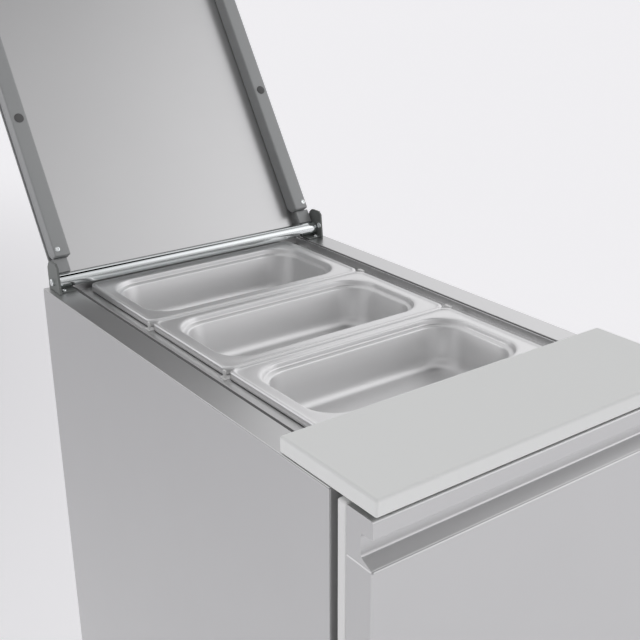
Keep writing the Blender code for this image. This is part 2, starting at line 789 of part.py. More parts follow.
def make_grille():
    grille = box(
        "front_grille", (-DOOR_HALF, back(GRILLE_FRONT), GRILLE_LOW),
        (DOOR_HALF, back(GRILLE_BACK), GRILLE_TOP), metal("front_grille"),
    )
    hollow = box(
        "grille_hollow", (-DOOR_HALF + SHEET, back(GRILLE_FRONT) + SHEET, GRILLE_LOW + SHEET),
        (DOOR_HALF - SHEET, back(GRILLE_BACK) + 0.01, GRILLE_TOP - SHEET),
    )
    slots = []
    for row in range(LOUVRES):
        low = LOUVRE_LOW + row * LOUVRE_PITCH
        slots.append(
            box(
                f"louvre_{row}", (-LOUVRE_HALF, back(GRILLE_FRONT) - MARGIN, low),
                (LOUVRE_HALF, back(GRILLE_FRONT) + MARGIN, low + LOUVRE_HEIGHT),
            )
        )
    windows = [
        box(
            f"window_{word}", (low[0], back(GRILLE_FRONT) - MARGIN, low[1]),
            (high[0], back(GRILLE_FRONT) + MARGIN, high[1]),
        )
        for word, low, high in (
            ("control", CONTROL_LOW, CONTROL_HIGH), ("rocker", ROCKER_LOW, ROCKER_HIGH)
        )
    ]
    cut(grille, hollow, *slots, *windows)


def make_controls():
    face = back(GRILLE_FRONT - 0.003)
    controller = box(
        "controller_body", (CONTROL_LOW[0] + GAP, face, CONTROL_LOW[1] + GAP),
        (CONTROL_HIGH[0] - GAP, back(0.058), CONTROL_HIGH[1] - GAP), plastic("controller_body"),
    )
    pockets = []
    half_x, half_z = KEY_HALF
    z = (CONTROL_LOW[1] + CONTROL_HIGH[1]) / 2
    for number, word in enumerate(("set", "up", "down")):
        x = KEY_START + number * KEY_PITCH
        pockets.append(
            box(
                f"key_pocket_{word}", (x - half_x - GAP, face - MARGIN, z - half_z - GAP),
                (x + half_x + GAP, face + 0.0022, z + half_z + GAP),
            )
        )
        key = box(
            f"key_{word}", (x - half_x, face - 0.0015, z - half_z),
            (x + half_x, face + 0.0010, z + half_z), plastic(f"key_{word}", (0.10, 0.10, 0.11)),
            bevel=0.0005,
        )
        hang(key, axis_empty(f"key_{word}_press", (x, face, z)), world=(x, face, z))
    cut(controller, *pockets)

    x = (ROCKER_LOW[0] + ROCKER_HIGH[0]) / 2
    z = (ROCKER_LOW[1] + ROCKER_HIGH[1]) / 2
    housing = box(
        "rocker_housing", (ROCKER_LOW[0] + GAP, back(0.0285), ROCKER_LOW[1] + GAP),
        (ROCKER_HIGH[0] - GAP, back(0.050), ROCKER_HIGH[1] - GAP), plastic("rocker_housing"),
    )
    well = box(
        "rocker_well", (x - 0.0080, back(0.02), z - 0.0085), (x + 0.0080, back(0.0385), z + 0.0085)
    )
    cut(housing, well)
    pivot = (x, back(0.0330), z)
    outline = [  # a shallow V of a rocker about its own pivot
        (0.0030, -0.0045), (0.0030, 0.0045), (-0.0055, 0.0074), (-0.0035, 0.0),
        (-0.0055, -0.0074),
    ]
    rocker = prism(
        "power_rocker", outline, -0.0074, 0.0074, "X",
        plastic("power_rocker", (0.08, 0.35, 0.10), 0.4),
    )
    empty = axis_empty("rocker_pivot", pivot, -ROCKER_TILT)
    hang(rocker, empty, local=True)


def blades(name, centre, hub_radius, tip_radius, depth, count, material):
    """A fan: a hub with tilted blades, turning about Y."""
    hub = cylinder(name, centre, (0, 1, 0), depth, hub_radius, material, steps=16)
    fins = []
    thickness = 0.0016
    for number in range(count):
        angle = 2 * math.pi * number / count
        reach = (hub_radius * 0.8 + tip_radius) / 2
        fin = box(
            f"{name}_fin_{number}",
            (-(tip_radius - hub_radius * 0.8) / 2, -thickness / 2, -tip_radius * 0.30),
            ((tip_radius - hub_radius * 0.8) / 2, thickness / 2, tip_radius * 0.30),
        )
        fin.matrix_world = (
            Matrix.Translation(centre) @ Matrix.Rotation(angle, 4, "Y")
            @ Matrix.Translation((reach, 0, 0)) @ Matrix.Rotation(math.radians(24), 4, "X")
        )
        fins.append(fin)
    unite(hub, *fins)
    bore = cylinder(f"{name}_bore", centre, (0, 1, 0), depth * 2, SHAFT + GAP, steps=8)
    cut(hub, bore)
    hang(hub, axis_empty(f"{name}_axis", centre), world=centre)


def motor(name, centre, radius, length, shaft_length):
    """A round motor with its shaft towards the front."""
    profile = [
        (0.0, length + shaft_length), (SHAFT, length + shaft_length), (SHAFT, length),
        (radius * 0.8, length), (radius, length - radius * 0.2), (radius, 0.0), (0.0, 0.0),
    ]
    place = Matrix.Translation(centre) @ Matrix.Rotation(math.pi / 2, 4, "X")
    return turned(name, profile, place, metal(name, DARK_STEEL, 0.5), steps=16)


def finned(name, low, high, count, depth, material):
    """A block of fins: slots cut into its front face."""
    block = box(name, low, high, material)
    pitch = (high[0] - low[0]) / (count + 1)
    slots = []
    for number in range(count):
        x = low[0] + pitch * (number + 1)
        slots.append(
            box(
                f"{name}_slot_{number}", (x - pitch * 0.3, low[1] - 0.01, low[2] - 0.01),
                (x + pitch * 0.3, low[1] + depth, high[2] + 0.01),
            )
        )
    return cut(block, *slots)


def make_machine():
    floor = CABINET_BASE + BASE_SHEET + GAP
    place = Matrix.Translation((COMPRESSOR[0], back(COMPRESSOR[1]), floor))
    body, height = COMPRESSOR_RADIUS, COMPRESSOR_HEIGHT
    profile = [
        (0.0, height), (body * 0.45, height - 0.004), (body * 0.85, height - 0.024),
        (body, height - 0.055), (body, 0.040), (body * 0.85, 0.016), (body * 0.85, 0.004),
        (body * 0.85, 0.0), (0.0, 0.0),
    ]
    turned("compressor", profile, place, plastic("compressor", BLACK, 0.4), steps=20)
    finned(
        "condenser", (-0.190, back(0.105), floor), (0.080, back(0.150), 0.318), 9, 0.030,
        metal("condenser", (0.5, 0.5, 0.5), 0.5),
    )
    motor("condenser_fan_motor", (FAN[0], back(0.260), FAN[1]), 0.028, 0.050, 0.030)
    blades(
        "condenser_fan", (FAN[0], back(0.192), FAN[1]), 0.020, 0.082, 0.022, 5,
        plastic("condenser_fan"),
    )

    tray = box(
        "evaporation_tray", (TRAY_LOW[0], back(TRAY_LOW[1]), floor),
        (TRAY_HIGH[0], back(TRAY_HIGH[1]), floor + TRAY_HEIGHT),
        plastic("evaporation_tray", BLACK, 0.6),
    )
    wall = 0.002
    hollow = box(
        "tray_hollow", (TRAY_LOW[0] + wall, back(TRAY_LOW[1]) + wall, floor + wall),
        (TRAY_HIGH[0] - wall, back(TRAY_HIGH[1]) - wall, floor + TRAY_HEIGHT + MARGIN),
    )
    cut(tray, hollow)

    drain_top = CHAMBER_FLOOR + GAP + LINER_SHEET
    inside = DRAIN_RADIUS - 0.0015
    turned(
        "drain_tube",
        [
            (inside, drain_top), (DRAIN_RADIUS, drain_top), (DRAIN_RADIUS, DRAIN_LOW),
            (inside, DRAIN_LOW), (inside, drain_top),
        ],
        Matrix.Translation((DRAIN[0], back(DRAIN[1]), 0)),
        plastic("drain_tube", (0.6, 0.6, 0.58), 0.5), steps=12,
    )

    flange, nut = 0.012, 0.013
    gland_profile = [
        (0.0, 0.030), (INLET_RADIUS, 0.030), (INLET_RADIUS, flange), (nut, flange),
        (nut, flange / 2), (nut - 0.004, 0.0), (0.0, 0.0),
    ]
    gland_place = Matrix.Translation(
        (INLET[0], back(DEPTH) + flange + GAP, INLET[1])
    ) @ Matrix.Rotation(math.pi / 2, 4, "X")
    turned("power_inlet", gland_profile, gland_place, plastic("power_inlet"), steps=12)


def make_suction_pipe():
    """From the evaporator's end down through the chamber floor to the compressor."""
    bend = 0.014
    coil_end, coil_height, run_height = 0.1515, 0.480, 0.320
    shell_top = CABINET_BASE + BASE_SHEET + 2 * GAP + COMPRESSOR_HEIGHT
    route = [
        (coil_end, PIPE[1], coil_height), (*PIPE, coil_height), (*PIPE, run_height),
        (COMPRESSOR[0], PIPE[1], run_height), (*COMPRESSOR, run_height), (*COMPRESSOR, shell_top),
    ]
    points = [Vector((x, back(d), z)) for x, d, z in route]
    smooth = [points[0]]
    for before, corner, after in zip(points, points[1:], points[2:]):
        start = corner + (before - corner).normalized() * min(bend, (before - corner).length / 2)
        end = corner + (after - corner).normalized() * min(bend, (after - corner).length / 2)
        for step in range(5):
            t = step / 4
            smooth.append((1 - t) ** 2 * start + 2 * t * (1 - t) * corner + t**2 * end)
    smooth.append(points[-1])
    curve = bpy.data.curves.new("suction_pipe", "CURVE")
    curve.dimensions = "3D"
    curve.bevel_depth = PIPE_RADIUS
    curve.bevel_resolution = 2
    curve.use_fill_caps = True
    line = curve.splines.new("POLY")
    line.points.add(len(smooth) - 1)
    for point, place in zip(line.points, smooth):
        point.co = (*place, 1)
    curve.materials.append(metal("suction_pipe", COPPER, 0.35))
    PARTS.objects.link(bpy.data.objects.new("suction_pipe", curve))


def make_evaporator():
    finned(
        "evaporator", (-0.150, back(0.615), 0.445), (0.150, back(0.655), 0.610), 9, 0.028,
        metal("evaporator", (0.6, 0.6, 0.6), 0.45),
    )
    centre = (COIL_FAN[0], back(0.586), COIL_FAN[1])
    blades("evaporator_fan", centre, 0.014, 0.045, 0.014, 4, plastic("evaporator_fan"))

    low = (-0.157, back(0.560), 0.435)
    high = (0.157, back(0.6655), 0.625)
    cover = box("evaporator_cover", low, high, plastic("evaporator_cover", WHITE, 0.5))
    wall = 0.0015
    hollow = box(
        "cover_hollow", (low[0] + wall, low[1] + wall, low[2] + wall),
        (high[0] - wall, high[1] + 0.01, high[2] - wall),
    )
    mouth = cylinder(
        "cover_mouth", (COIL_FAN[0], low[1], COIL_FAN[1]), (0, 1, 0), 0.01, 0.048, steps=24
    )
    pipe_slot = box(
        "cover_pipe_slot", (high[0] - 0.01, back(PIPE[1]) - 0.008, 0.470),
        (high[0] + 0.01, high[1] + 0.01, 0.490),
    )
    cut(cover, hollow, mouth, pipe_slot)


# ---- Castors --------------------------------------------------------------------------------


def make_castor(word, x, distance, braked):
    """A swivel fork with its axle, a wheel, and on the front pair a brake pedal."""
    y = back(distance)
    swivel = axis_empty(f"castor_swivel_{word}", (x, y, CABINET_BASE - GAP))
    trail = y + CASTOR_TRAIL
    top, crown, cheek_in, cheek_out = CABINET_BASE - GAP, 0.094, 0.0145, 0.0170
    outline = [
        (y - 0.019, crown), (y - 0.019, crown - 0.008), (trail - 0.010, 0.030),
        (trail, 0.026), (trail + 0.010, 0.030), (trail + 0.012, 0.050), (y + 0.030, crown),
    ]
    fork = prism(
        f"castor_fork_{word}", outline, x - cheek_out, x + cheek_out, "X",
        metal(f"castor_fork_{word}", (0.55, 0.55, 0.55), 0.35),
    )
    slot = box(
        f"fork_slot_{word}", (x - cheek_in, y - 0.05, 0.01), (x + cheek_in, y + 0.08, 0.0905)
    )
    head = cylinder(
        f"fork_head_{word}", (x, y, (top + crown) / 2 - 0.001), (0, 0, 1), top - crown + 0.002,
        0.020, steps=20,
    )
    axle = cylinder(
        f"fork_axle_{word}", (x, trail, WHEEL_CENTRE), (1, 0, 0), 2 * cheek_out + 0.006, 0.004,
        steps=12,
    )
    cut(fork, slot)
    unite(fork, head, axle)
    hang(fork, swivel, world=(x, y, top))

    hub, tread, half = 0.0043, WHEEL_RADIUS, WHEEL_WIDTH / 2
    profile = [
        (hub, half), (0.012, half), (0.014, half - 0.004), (0.024, half - 0.004),
        (0.027, half - 0.0015), (tread - 0.003, half - 0.0015), (tread, half - 0.0045),
        (tread, -half + 0.0045), (tread - 0.003, -half + 0.0015), (0.027, -half + 0.0015),
        (0.024, -half + 0.004), (0.014, -half + 0.004), (0.012, -half), (hub, -half),
        (hub, half),
    ]
    centre = (x, trail, WHEEL_CENTRE)
    spin = axis_empty(f"castor_roll_{word}", centre, parent=swivel)
    turn = Matrix.Rotation(math.pi / 2, 4, "Y") @ Matrix.Rotation(
        math.pi / WHEEL_STEPS, 4, "Z"
    )
    wheel = turned(
        f"castor_wheel_{word}", profile, turn,
        plastic(f"castor_wheel_{word}", (0.10, 0.10, 0.10), 0.6), steps=WHEEL_STEPS,
    )
    hang(wheel, spin, local=True)

    if braked:
        pivot = (x, y + 0.002, 0.0855)
        pedal = prism(
            f"brake_pedal_{word}",
            [
                (y - 0.004, 0.0830), (y + 0.030, 0.0790), (y + 0.058, 0.0770),
                (y + 0.060, 0.0800), (y + 0.032, 0.0830), (y - 0.004, 0.0880),
            ],
            x - cheek_in + 0.001, x + cheek_in - 0.001, "X",
            plastic(f"brake_pedal_{word}", (0.6, 0.06, 0.05), 0.5),
        )
        lever = axis_empty(f"brake_pivot_{word}", pivot, parent=swivel)
        hang(pedal, lever, world=pivot)


def make_castors():
    for word, side in SIDES:
        for end, distance in zip(("front", "rear"), CASTOR_BACKS):
            make_castor(f"{end}_{word}", side * CASTOR_X, distance, end == "front")


make_cabinet()
make_chamber()
make_shelf()
make_deck()
make_well_seal()
make_pans()
make_board()
make_brackets()
make_lid()
make_door()
make_door_hinges()
make_grille()
make_controls()
make_machine()
make_suction_pipe()
make_evaporator()
make_castors()
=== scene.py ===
"""Looks of the sandwich prep table: fine surfaces, materials, light and a camera round the frame.

Metres, +Z up, front towards -Y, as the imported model. Every place is worked out from the boxes of
the model's nodes.
"""

import json
import math

import bmesh
import bpy
from mathutils import Matrix, Vector


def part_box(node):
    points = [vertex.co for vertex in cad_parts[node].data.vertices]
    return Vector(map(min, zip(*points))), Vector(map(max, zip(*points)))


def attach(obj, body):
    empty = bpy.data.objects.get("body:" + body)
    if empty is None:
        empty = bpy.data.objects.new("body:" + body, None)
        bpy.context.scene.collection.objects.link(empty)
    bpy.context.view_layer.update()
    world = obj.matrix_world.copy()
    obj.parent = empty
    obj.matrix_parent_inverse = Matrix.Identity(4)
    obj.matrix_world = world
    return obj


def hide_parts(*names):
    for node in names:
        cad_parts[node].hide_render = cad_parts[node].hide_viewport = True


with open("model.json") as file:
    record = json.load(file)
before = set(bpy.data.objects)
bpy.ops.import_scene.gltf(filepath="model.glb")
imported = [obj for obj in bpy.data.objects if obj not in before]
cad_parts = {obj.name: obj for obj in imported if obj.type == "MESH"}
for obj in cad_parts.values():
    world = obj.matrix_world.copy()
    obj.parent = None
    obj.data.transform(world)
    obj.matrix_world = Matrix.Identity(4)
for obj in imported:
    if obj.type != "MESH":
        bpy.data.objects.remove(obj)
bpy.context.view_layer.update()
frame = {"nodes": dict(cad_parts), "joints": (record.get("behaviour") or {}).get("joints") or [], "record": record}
NODES = frame["nodes"]
COLOURS = {entry["slot"]: entry["base_color"] for entry in frame["record"]["materials"]}
BODY = {
    node: body
    for body, members in frame["record"]["behaviour"]["bodies"].items()
    for node in members
}
JOINTS = {joint["name"]: joint for joint in frame["joints"]}
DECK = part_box("deck_top")[1].z
MM = 0.001
SIDES = (("left", -1), ("right", 1))
X_AXIS, Y_AXIS, Z_AXIS = Vector((1, 0, 0)), Vector((0, 1, 0)), Vector((0, 0, 1))
DIAGONALS = [math.pi / 4 + number * math.pi / 2 for number in range(4)]


# ---- Materials ------------------------------------------------------------------------------

# metallic, roughness, roughness change, colour change, grain per metre, grain depth, coat
LOOKS = {
    "stainless_panel": (1.0, 0.32, 0.015, 0.015, 900, 0.001 * MM, 0.0),
    "stainless_pan": (1.0, 0.14, 0.02, 0.015, 1400, 0.002 * MM, 0.0),
    "lid_arm_steel": (0.5, 0.42, 0.04, 0.04, 900, 0.008 * MM, 0.0),
    "bright_rod": (1.0, 0.40, 0.03, 0.02, 1800, 0.002 * MM, 0.0),
    "dark_bracket": (0.5, 0.30, 0.05, 0.12, 1200, 0.010 * MM, 0.0),
    "white_board": (0.0, 0.46, 0.06, 0.025, 1500, 0.030 * MM, 0.0),
    "white_plastic": (0.0, 0.42, 0.05, 0.03, 1100, 0.020 * MM, 0.0),
    "black_plastic": (0.0, 0.48, 0.08, 0.25, 1300, 0.030 * MM, 0.0),
    "seal_rubber": (0.0, 0.66, 0.08, 0.15, 900, 0.030 * MM, 0.0),
    "foam": (0.0, 0.90, 0.05, 0.12, 500, 0.300 * MM, 0.0),
    "green_lens": (0.0, 0.16, 0.03, 0.10, 600, 0.005 * MM, 0.5),
    "copper": (1.0, 0.30, 0.10, 0.14, 500, 0.020 * MM, 0.0),
    "coil_fins": (1.0, 0.40, 0.08, 0.08, 900, 0.020 * MM, 0.0),
    "compressor_black": (0.0, 0.30, 0.08, 0.20, 350, 0.060 * MM, 0.3),
    "zinc_fork": (1.0, 0.34, 0.10, 0.10, 700, 0.030 * MM, 0.0),
    "grey_tyre": (0.0, 0.62, 0.08, 0.15, 700, 0.050 * MM, 0.0),
    "red_plastic": (0.0, 0.40, 0.06, 0.10, 900, 0.030 * MM, 0.0),
    "clear_tube": (0.0, 0.22, 0.05, 0.08, 400, 0.020 * MM, 0.2),
}
GRAIN_STRETCH = 0.02  # a brushed steel's lines are this much coarser along their own axis
GRAIN_AXES = {"X": 0, "Y": 1, "Z": 2}
GRAIN_RANGE = (0.3, 0.7)  # the part of the grain noise that changes the roughness
GRAIN_STRENGTH = 0.8
CLOUD_SCALE = 9.0  # broad waves in pressed sheet, per metre
CLOUD_DEPTH = 0.2 * MM
CLOUD_STRENGTH = 0.35


def add_node(tree, kind, inputs=None, **settings):
    """A shader node with its settings, and its inputs linked or set."""
    node = tree.nodes.new(kind)
    for key, value in settings.items():
        setattr(node, key, value)
    for key, value in (inputs or {}).items():
        if isinstance(value, bpy.types.NodeSocket):
            tree.links.new(value, node.inputs[key])
        else:
            node.inputs[key].default_value = value
    return node


def finish(slot, grain=None):
    """The material of a record slot; grain is the axis that brushed lines run along."""
    name = slot if grain is None else f"{slot}_{grain.lower()}"
    if name in bpy.data.materials:
        return bpy.data.materials[name]
    metallic, roughness, change, mottle, scale, depth, coat = LOOKS[slot]
    material = bpy.data.materials.new(name)
    material.use_nodes = True
    tree = material.node_tree
    shader = tree.nodes["Principled BSDF"]
    shader.inputs["Metallic"].default_value = metallic
    shader.inputs["Coat Weight"].default_value = coat

    stretch = [1.0, 1.0, 1.0]
    if grain is not None:
        stretch[GRAIN_AXES[grain]] = GRAIN_STRETCH
    place = add_node(tree, "ShaderNodeTexCoord").outputs["Object"]
    lined = add_node(tree, "ShaderNodeMapping", {"Vector": place, "Scale": stretch})
    fine = add_node(
        tree, "ShaderNodeTexNoise",
        {"Vector": lined.outputs["Vector"], "Scale": scale, "Detail": 4.0, "Roughness": 0.6},
    ).outputs["Fac"]
    cloud = add_node(
        tree, "ShaderNodeTexNoise", {"Vector": place, "Scale": CLOUD_SCALE, "Detail": 3.0}
    ).outputs["Fac"]

    spread = add_node(
        tree, "ShaderNodeMapRange",
        {
            "Value": fine, "From Min": GRAIN_RANGE[0], "From Max": GRAIN_RANGE[1],
            "To Min": roughness - change, "To Max": roughness + change,
        },
    )
    tree.links.new(spread.outputs["Result"], shader.inputs["Roughness"])

    colour = COLOURS[slot]
    tint = add_node(tree, "ShaderNodeMix", data_type="RGBA")
    tree.links.new(cloud, tint.inputs["Factor"])
    darker, lighter, mixed = tint.inputs[6], tint.inputs[7], tint.outputs[2]  # its colour sockets
    darker.default_value = (*(c * (1 - mottle) for c in colour), 1)
    lighter.default_value = (*(min(1.0, c * (1 + mottle)) for c in colour), 1)
    tree.links.new(mixed, shader.inputs["Base Color"])

    bump = add_node(
        tree, "ShaderNodeBump", {"Height": fine, "Distance": depth, "Strength": GRAIN_STRENGTH}
    )
    if metallic == 1.0:
        bump = add_node(
            tree, "ShaderNodeBump",
            {
                "Height": cloud, "Distance": CLOUD_DEPTH, "Strength": CLOUD_STRENGTH,
                "Normal": bump.outputs["Normal"],
            },
        )
    tree.links.new(bump.outputs["Normal"], shader.inputs["Normal"])
    return material


def special(name, **settings):
    """A copy of the black plastic with some of its shader's inputs set, such as Coat_Weight."""
    material = finish("black_plastic").copy()
    material.name = name
    shader = material.node_tree.nodes["Principled BSDF"]
    for key, value in settings.items():
        shader.inputs[key.replace("_", " ")].default_value = value
    return material


def paint(item, material):
    """Gives an object one material in place of its own."""
    item.data.materials.clear()
    item.data.materials.append(material)


# ---- Mesh helpers ---------------------------------------------------------------------------


def piece(name, shape, slot, body, *stands_for, grain=None):
    """A bmesh as a smooth piece that rides on a body and stands for CAD nodes."""
    mesh = bpy.data.meshes.new(name)
    shape.to_mesh(mesh)
    shape.free()
    mesh.materials.append(finish(slot, grain))
    mesh.shade_smooth()
    item = bpy.data.objects.new(name, mesh)
    bpy.context.scene.collection.objects.link(item)
    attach(item, body)
    if stands_for:
        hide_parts(*stands_for)
    return item


def soften(item, width, segments=3, angle=30):
    """Rounds the edges of a piece and keeps its flats flat."""
    rounding = item.modifiers.new("rounding", "BEVEL")
    rounding.width = width
    rounding.segments = segments
    rounding.limit_method = "ANGLE"
    rounding.angle_limit = math.radians(angle)
    shading = item.modifiers.new("shading", "WEIGHTED_NORMAL")
    shading.keep_sharp = True
    return item


def refined(node, width, slot, grain=None, segments=3):
    """A CAD node's own shape with rounded edges and its real finish."""
    shape = bmesh.new()
    shape.from_mesh(NODES[node].data)
    bmesh.ops.remove_doubles(shape, verts=shape.verts, dist=0.01 * MM)
    bmesh.ops.dissolve_limit(
        shape, angle_limit=math.radians(1), verts=shape.verts, edges=shape.edges
    )
    item = piece(f"{node}_surface", shape, slot, BODY[node], node, grain=grain)
    return soften(item, width, segments)


def loft(rings, cyclic=False):
    """A closed skin through rings of equal length, capped at its ends unless it is cyclic."""
    shape = bmesh.new()
    rows = [[shape.verts.new(point) for point in ring] for ring in rings]
    for first, second in zip(rows, rows[1:] + rows[:1] if cyclic else rows[1:]):
        for i in range(len(first)):
            j = (i + 1) % len(first)
            shape.faces.new((first[i], first[j], second[j], second[i]))
    if not cyclic:
        shape.faces.new(rows[0][::-1])
        shape.faces.new(rows[-1])
    bmesh.ops.recalc_face_normals(shape, faces=shape.faces)
    return shape


def joined(shapes):
    """Several bmeshes as one."""
    whole = bmesh.new()
    for shape in shapes:
        mesh = bpy.data.meshes.new("part")
        shape.to_mesh(mesh)
        shape.free()
        whole.from_mesh(mesh)
        bpy.data.meshes.remove(mesh)
    return whole


def moved(shape, place):
    """A bmesh turned and moved to a place."""
    bmesh.ops.transform(shape, matrix=place, verts=shape.verts)
    return shape


def circle(radius, height, steps, sides=0):
    """A ring of points about +Z; with sides it is a polygon of that size across its corners."""
    points = []
    for step in range(steps):
        angle = 2 * math.pi * step / steps
        reach = radius
        if sides:
            half = math.pi / sides
            reach = radius * math.cos(half) / math.cos(angle % (2 * half) - half)
        points.append(Vector((reach * math.cos(angle), reach * math.sin(angle), height)))
    return points


def lathe(profile, steps=48, cyclic=False):
    """A profile of (radius, height) points turned about +Z."""
    return loft([circle(r, h, steps) for r, h in profile], cyclic)


def aim(point, direction):
    """A place that turns +Z to a direction."""
    turn = Z_AXIS.rotation_difference(Vector(direction)).to_matrix().to_4x4()
    return Matrix.Translation(point) @ turn


def extruded(outline, low, high, axis):
    """A flat outline pushed along X, with (y, z) points, or along Y, with (x, z) points."""
    if axis == "X":
        return loft([[Vector((x, p, q)) for p, q in outline] for x in (low, high)])
    return loft([[Vector((p, y, q)) for p, q in outline] for y in (low, high)])


def rounded_box(low, high, radius, segments=3):
    """A box between two corners, with all its edges rounded."""
    low, high = Vector(low), Vector(high)
    place = Matrix.Translation((low + high) / 2) @ Matrix.Diagonal((*(high - low), 1))
    shape = bmesh.new()
    bmesh.ops.create_cube(shape, size=1, matrix=place)
    bmesh.ops.bevel(
        shape, geom=shape.edges[:], offset=radius, segments=segments, profile=0.5,
        affect="EDGES", clamp_overlap=True,
    )
    return shape


def curve(start, pull, end, steps):
    """Points on a curve from start to end that leans towards pull."""
    points = []
    for step in range(steps + 1):
        t = step / steps
        points.append(
            tuple(
                (1 - t) ** 2 * a + 2 * t * (1 - t) * b + t**2 * c
                for a, b, c in zip(start, pull, end)
            )
        )
    return points


def filleted(corners, steps=5):
    """A closed outline through (u, v, radius) corners, each rounded by its radius."""
    points = []
    for i, (u, v, radius) in enumerate(corners):
        here = Vector((u, v))
        to_last = Vector(corners[i - 1][:2]) - here
        to_next = Vector(corners[(i + 1) % len(corners)][:2]) - here
        if radius == 0:
            points.append(tuple(here))
            continue
        reach = radius / math.tan(to_last.angle(to_next) / 2)
        reach = min(reach, 0.49 * to_last.length, 0.49 * to_next.length)
        start = here + to_last.normalized() * reach
        end = here + to_next.normalized() * reach
        points += curve(start, here, end, steps)
    return points


def rounded_rectangle(half_x, half_y, radius, steps=8):
    """Points of a rectangle with rounded corners, anticlockwise."""
    points = []
    for corner, (sx, sy) in enumerate(((1, 1), (-1, 1), (-1, -1), (1, -1))):
        for step in range(steps + 1):
            angle = math.pi / 2 * (corner + step / steps)
            points.append(
                (
                    sx * (half_x - radius) + radius * math.cos(angle),
                    sy * (half_y - radius) + radius * math.sin(angle),
                )
            )
    return points


def sweep(path, radius, steps=8, cyclic=False):
    """A round wire along a path of points."""
    path = [Vector(point) for point in path]
    rings = []
    side = None
    for i, point in enumerate(path):
        before = path[i - 1] if cyclic or i else point
        after = path[(i + 1) % len(path)] if cyclic or i < len(path) - 1 else point
        along = (after - before).normalized()
        if side is None:
            side = along.orthogonal()
        side = (side - along * side.dot(along)).normalized()
        other = along.cross(side)
        rings.append(
            [
                point + radius * (math.cos(a) * side + math.sin(a) * other)
                for a in (2 * math.pi * k / steps for k in range(steps))
            ]
        )
    return loft(rings, cyclic)


def screw(place, radius, height):
    """A pan-head screw with a hexagon socket; place is its seat, with +Z out of the surface."""
    steps, socket = 24, 0.5
    rings = [
        circle(radius, 0, steps), circle(radius, 0.4 * height, steps),
        circle(0.94 * radius, 0.75 * height, steps), circle(0.76 * radius, height, steps),
        circle(socket * radius, height, steps, 6),
        circle(socket * radius, 0.45 * height, steps, 6),
    ]
    return moved(loft(rings), place)


def screws(name, places, radius, height, body):
    """Bright screws as one piece on a body."""
    heads = joined(screw(place, radius, height) for place in places)
    soften(piece(name, heads, "bright_rod", body), 0.1 * MM, 1, 50)


# ---- Pans and board -------------------------------------------------------------------------


def pan_profile(depth):
    """(inset, drop) points of a gastronorm pan's upper face, from its lip to its bottom."""
    lip, bead, bead_turn = 8.8 * MM, 2.6 * MM, 0.72
    points = [(0.0, lip), (0.0, 5.6 * MM)]
    for step in range(9):  # the rolled bead on the rim
        angle = math.pi * (1 - bead_turn * step / 8)
        points.append((bead + bead * math.cos(angle), bead - bead * math.sin(angle)))
    flange = [(5.2, 1.3), (6.2, 1.5), (9.5, 1.3), (14.6, 0.9), (15.8, 1.05), (16.7, 1.6)]
    shoulder = [
        (17.2, 2.5), (17.5, 6.2), (17.9, 7.5), (18.9, 8.2), (21.6, 8.8), (22.8, 9.5), (23.5, 10.8)
    ]
    points += [(inset * MM, drop * MM) for inset, drop in flange + shoulder]
    wall_end, bottom_start = (27.3 * MM, depth - 17 * MM), (46.0 * MM, depth - 0.9 * MM)
    knee = (29.2 * MM, depth - 1.2 * MM)
    points += curve(wall_end, knee, bottom_start, 10)
    points.append((60 * MM, depth - 1.4 * MM))
    return points


def pan_corner(inset):
    """The corner radius at an inset from the rim: tight at the lip, wide at the bowl."""
    rim, bowl, bottom = 11 * MM, 42 * MM, 22 * MM
    widens_from, widens_to, narrowing = 6 * MM, 18 * MM, 0.8
    if inset < widens_from:
        return rim
    if inset < widens_to:
        return rim + (bowl - rim) * (inset - widens_from) / (widens_to - widens_from)
    return max(bottom, bowl - (inset - widens_to) * narrowing)


def make_pans():
    """The three pans, each pressed from one sheet."""
    sheet = 0.8 * MM
    for word in ("front", "middle", "rear"):
        low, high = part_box(f"pan_{word}")
        centre, half = (low + high) / 2, (high - low) / 2
        shape = bmesh.new()
        rows = []
        for inset, drop in pan_profile(high.z - low.z - sheet):
            outline = rounded_rectangle(half.x - inset, half.y - inset, pan_corner(inset), 12)
            rows.append(
                [shape.verts.new((centre.x + x, centre.y + y, high.z - drop)) for x, y in outline]
            )
        for outer, inner in zip(rows, rows[1:]):
            for i in range(len(outer)):
                j = (i + 1) % len(outer)
                shape.faces.new((outer[i], outer[j], inner[j], inner[i]))
        shape.faces.new(rows[-1])
        bmesh.ops.recalc_face_normals(shape, faces=shape.faces)
        if shape.faces[-1].normal.z < 0:
            bmesh.ops.reverse_faces(shape, faces=shape.faces)
        pan = piece(
            f"pan_{word}_pressing", shape, "stainless_pan", BODY[f"pan_{word}"], f"pan_{word}"
        )
        shell = pan.modifiers.new("sheet", "SOLIDIFY")
        shell.thickness = sheet
        shell.offset = -1
        shell.use_even_offset = True


def make_board():
    """The cutting board: a thick slab with well rounded edges."""
    low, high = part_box("cutting_board")
    board = piece(
        "cutting_board_slab", rounded_box(low, high, 3.2 * MM, 6), "white_board",
        BODY["cutting_board"], "cutting_board",
    )
    shading = board.modifiers.new("shading", "WEIGHTED_NORMAL")
    shading.keep_sharp = False


# ---- Deck and cabinet -----------------------------------------------------------------------

CABINET_SHEETS = (  # node, edge rounding in mm, direction of the brushed lines
    ("side_panel_left", 0.5, "Z"), ("side_panel_right", 0.5, "Z"), ("rear_panel", 0.4, "Z"),
    ("base_pan", 0.6, "X"), ("front_frame", 0.5, "Z"), ("deck_top", 0.6, "Y"),
    ("well_frame", 0.5, "Y"),
)


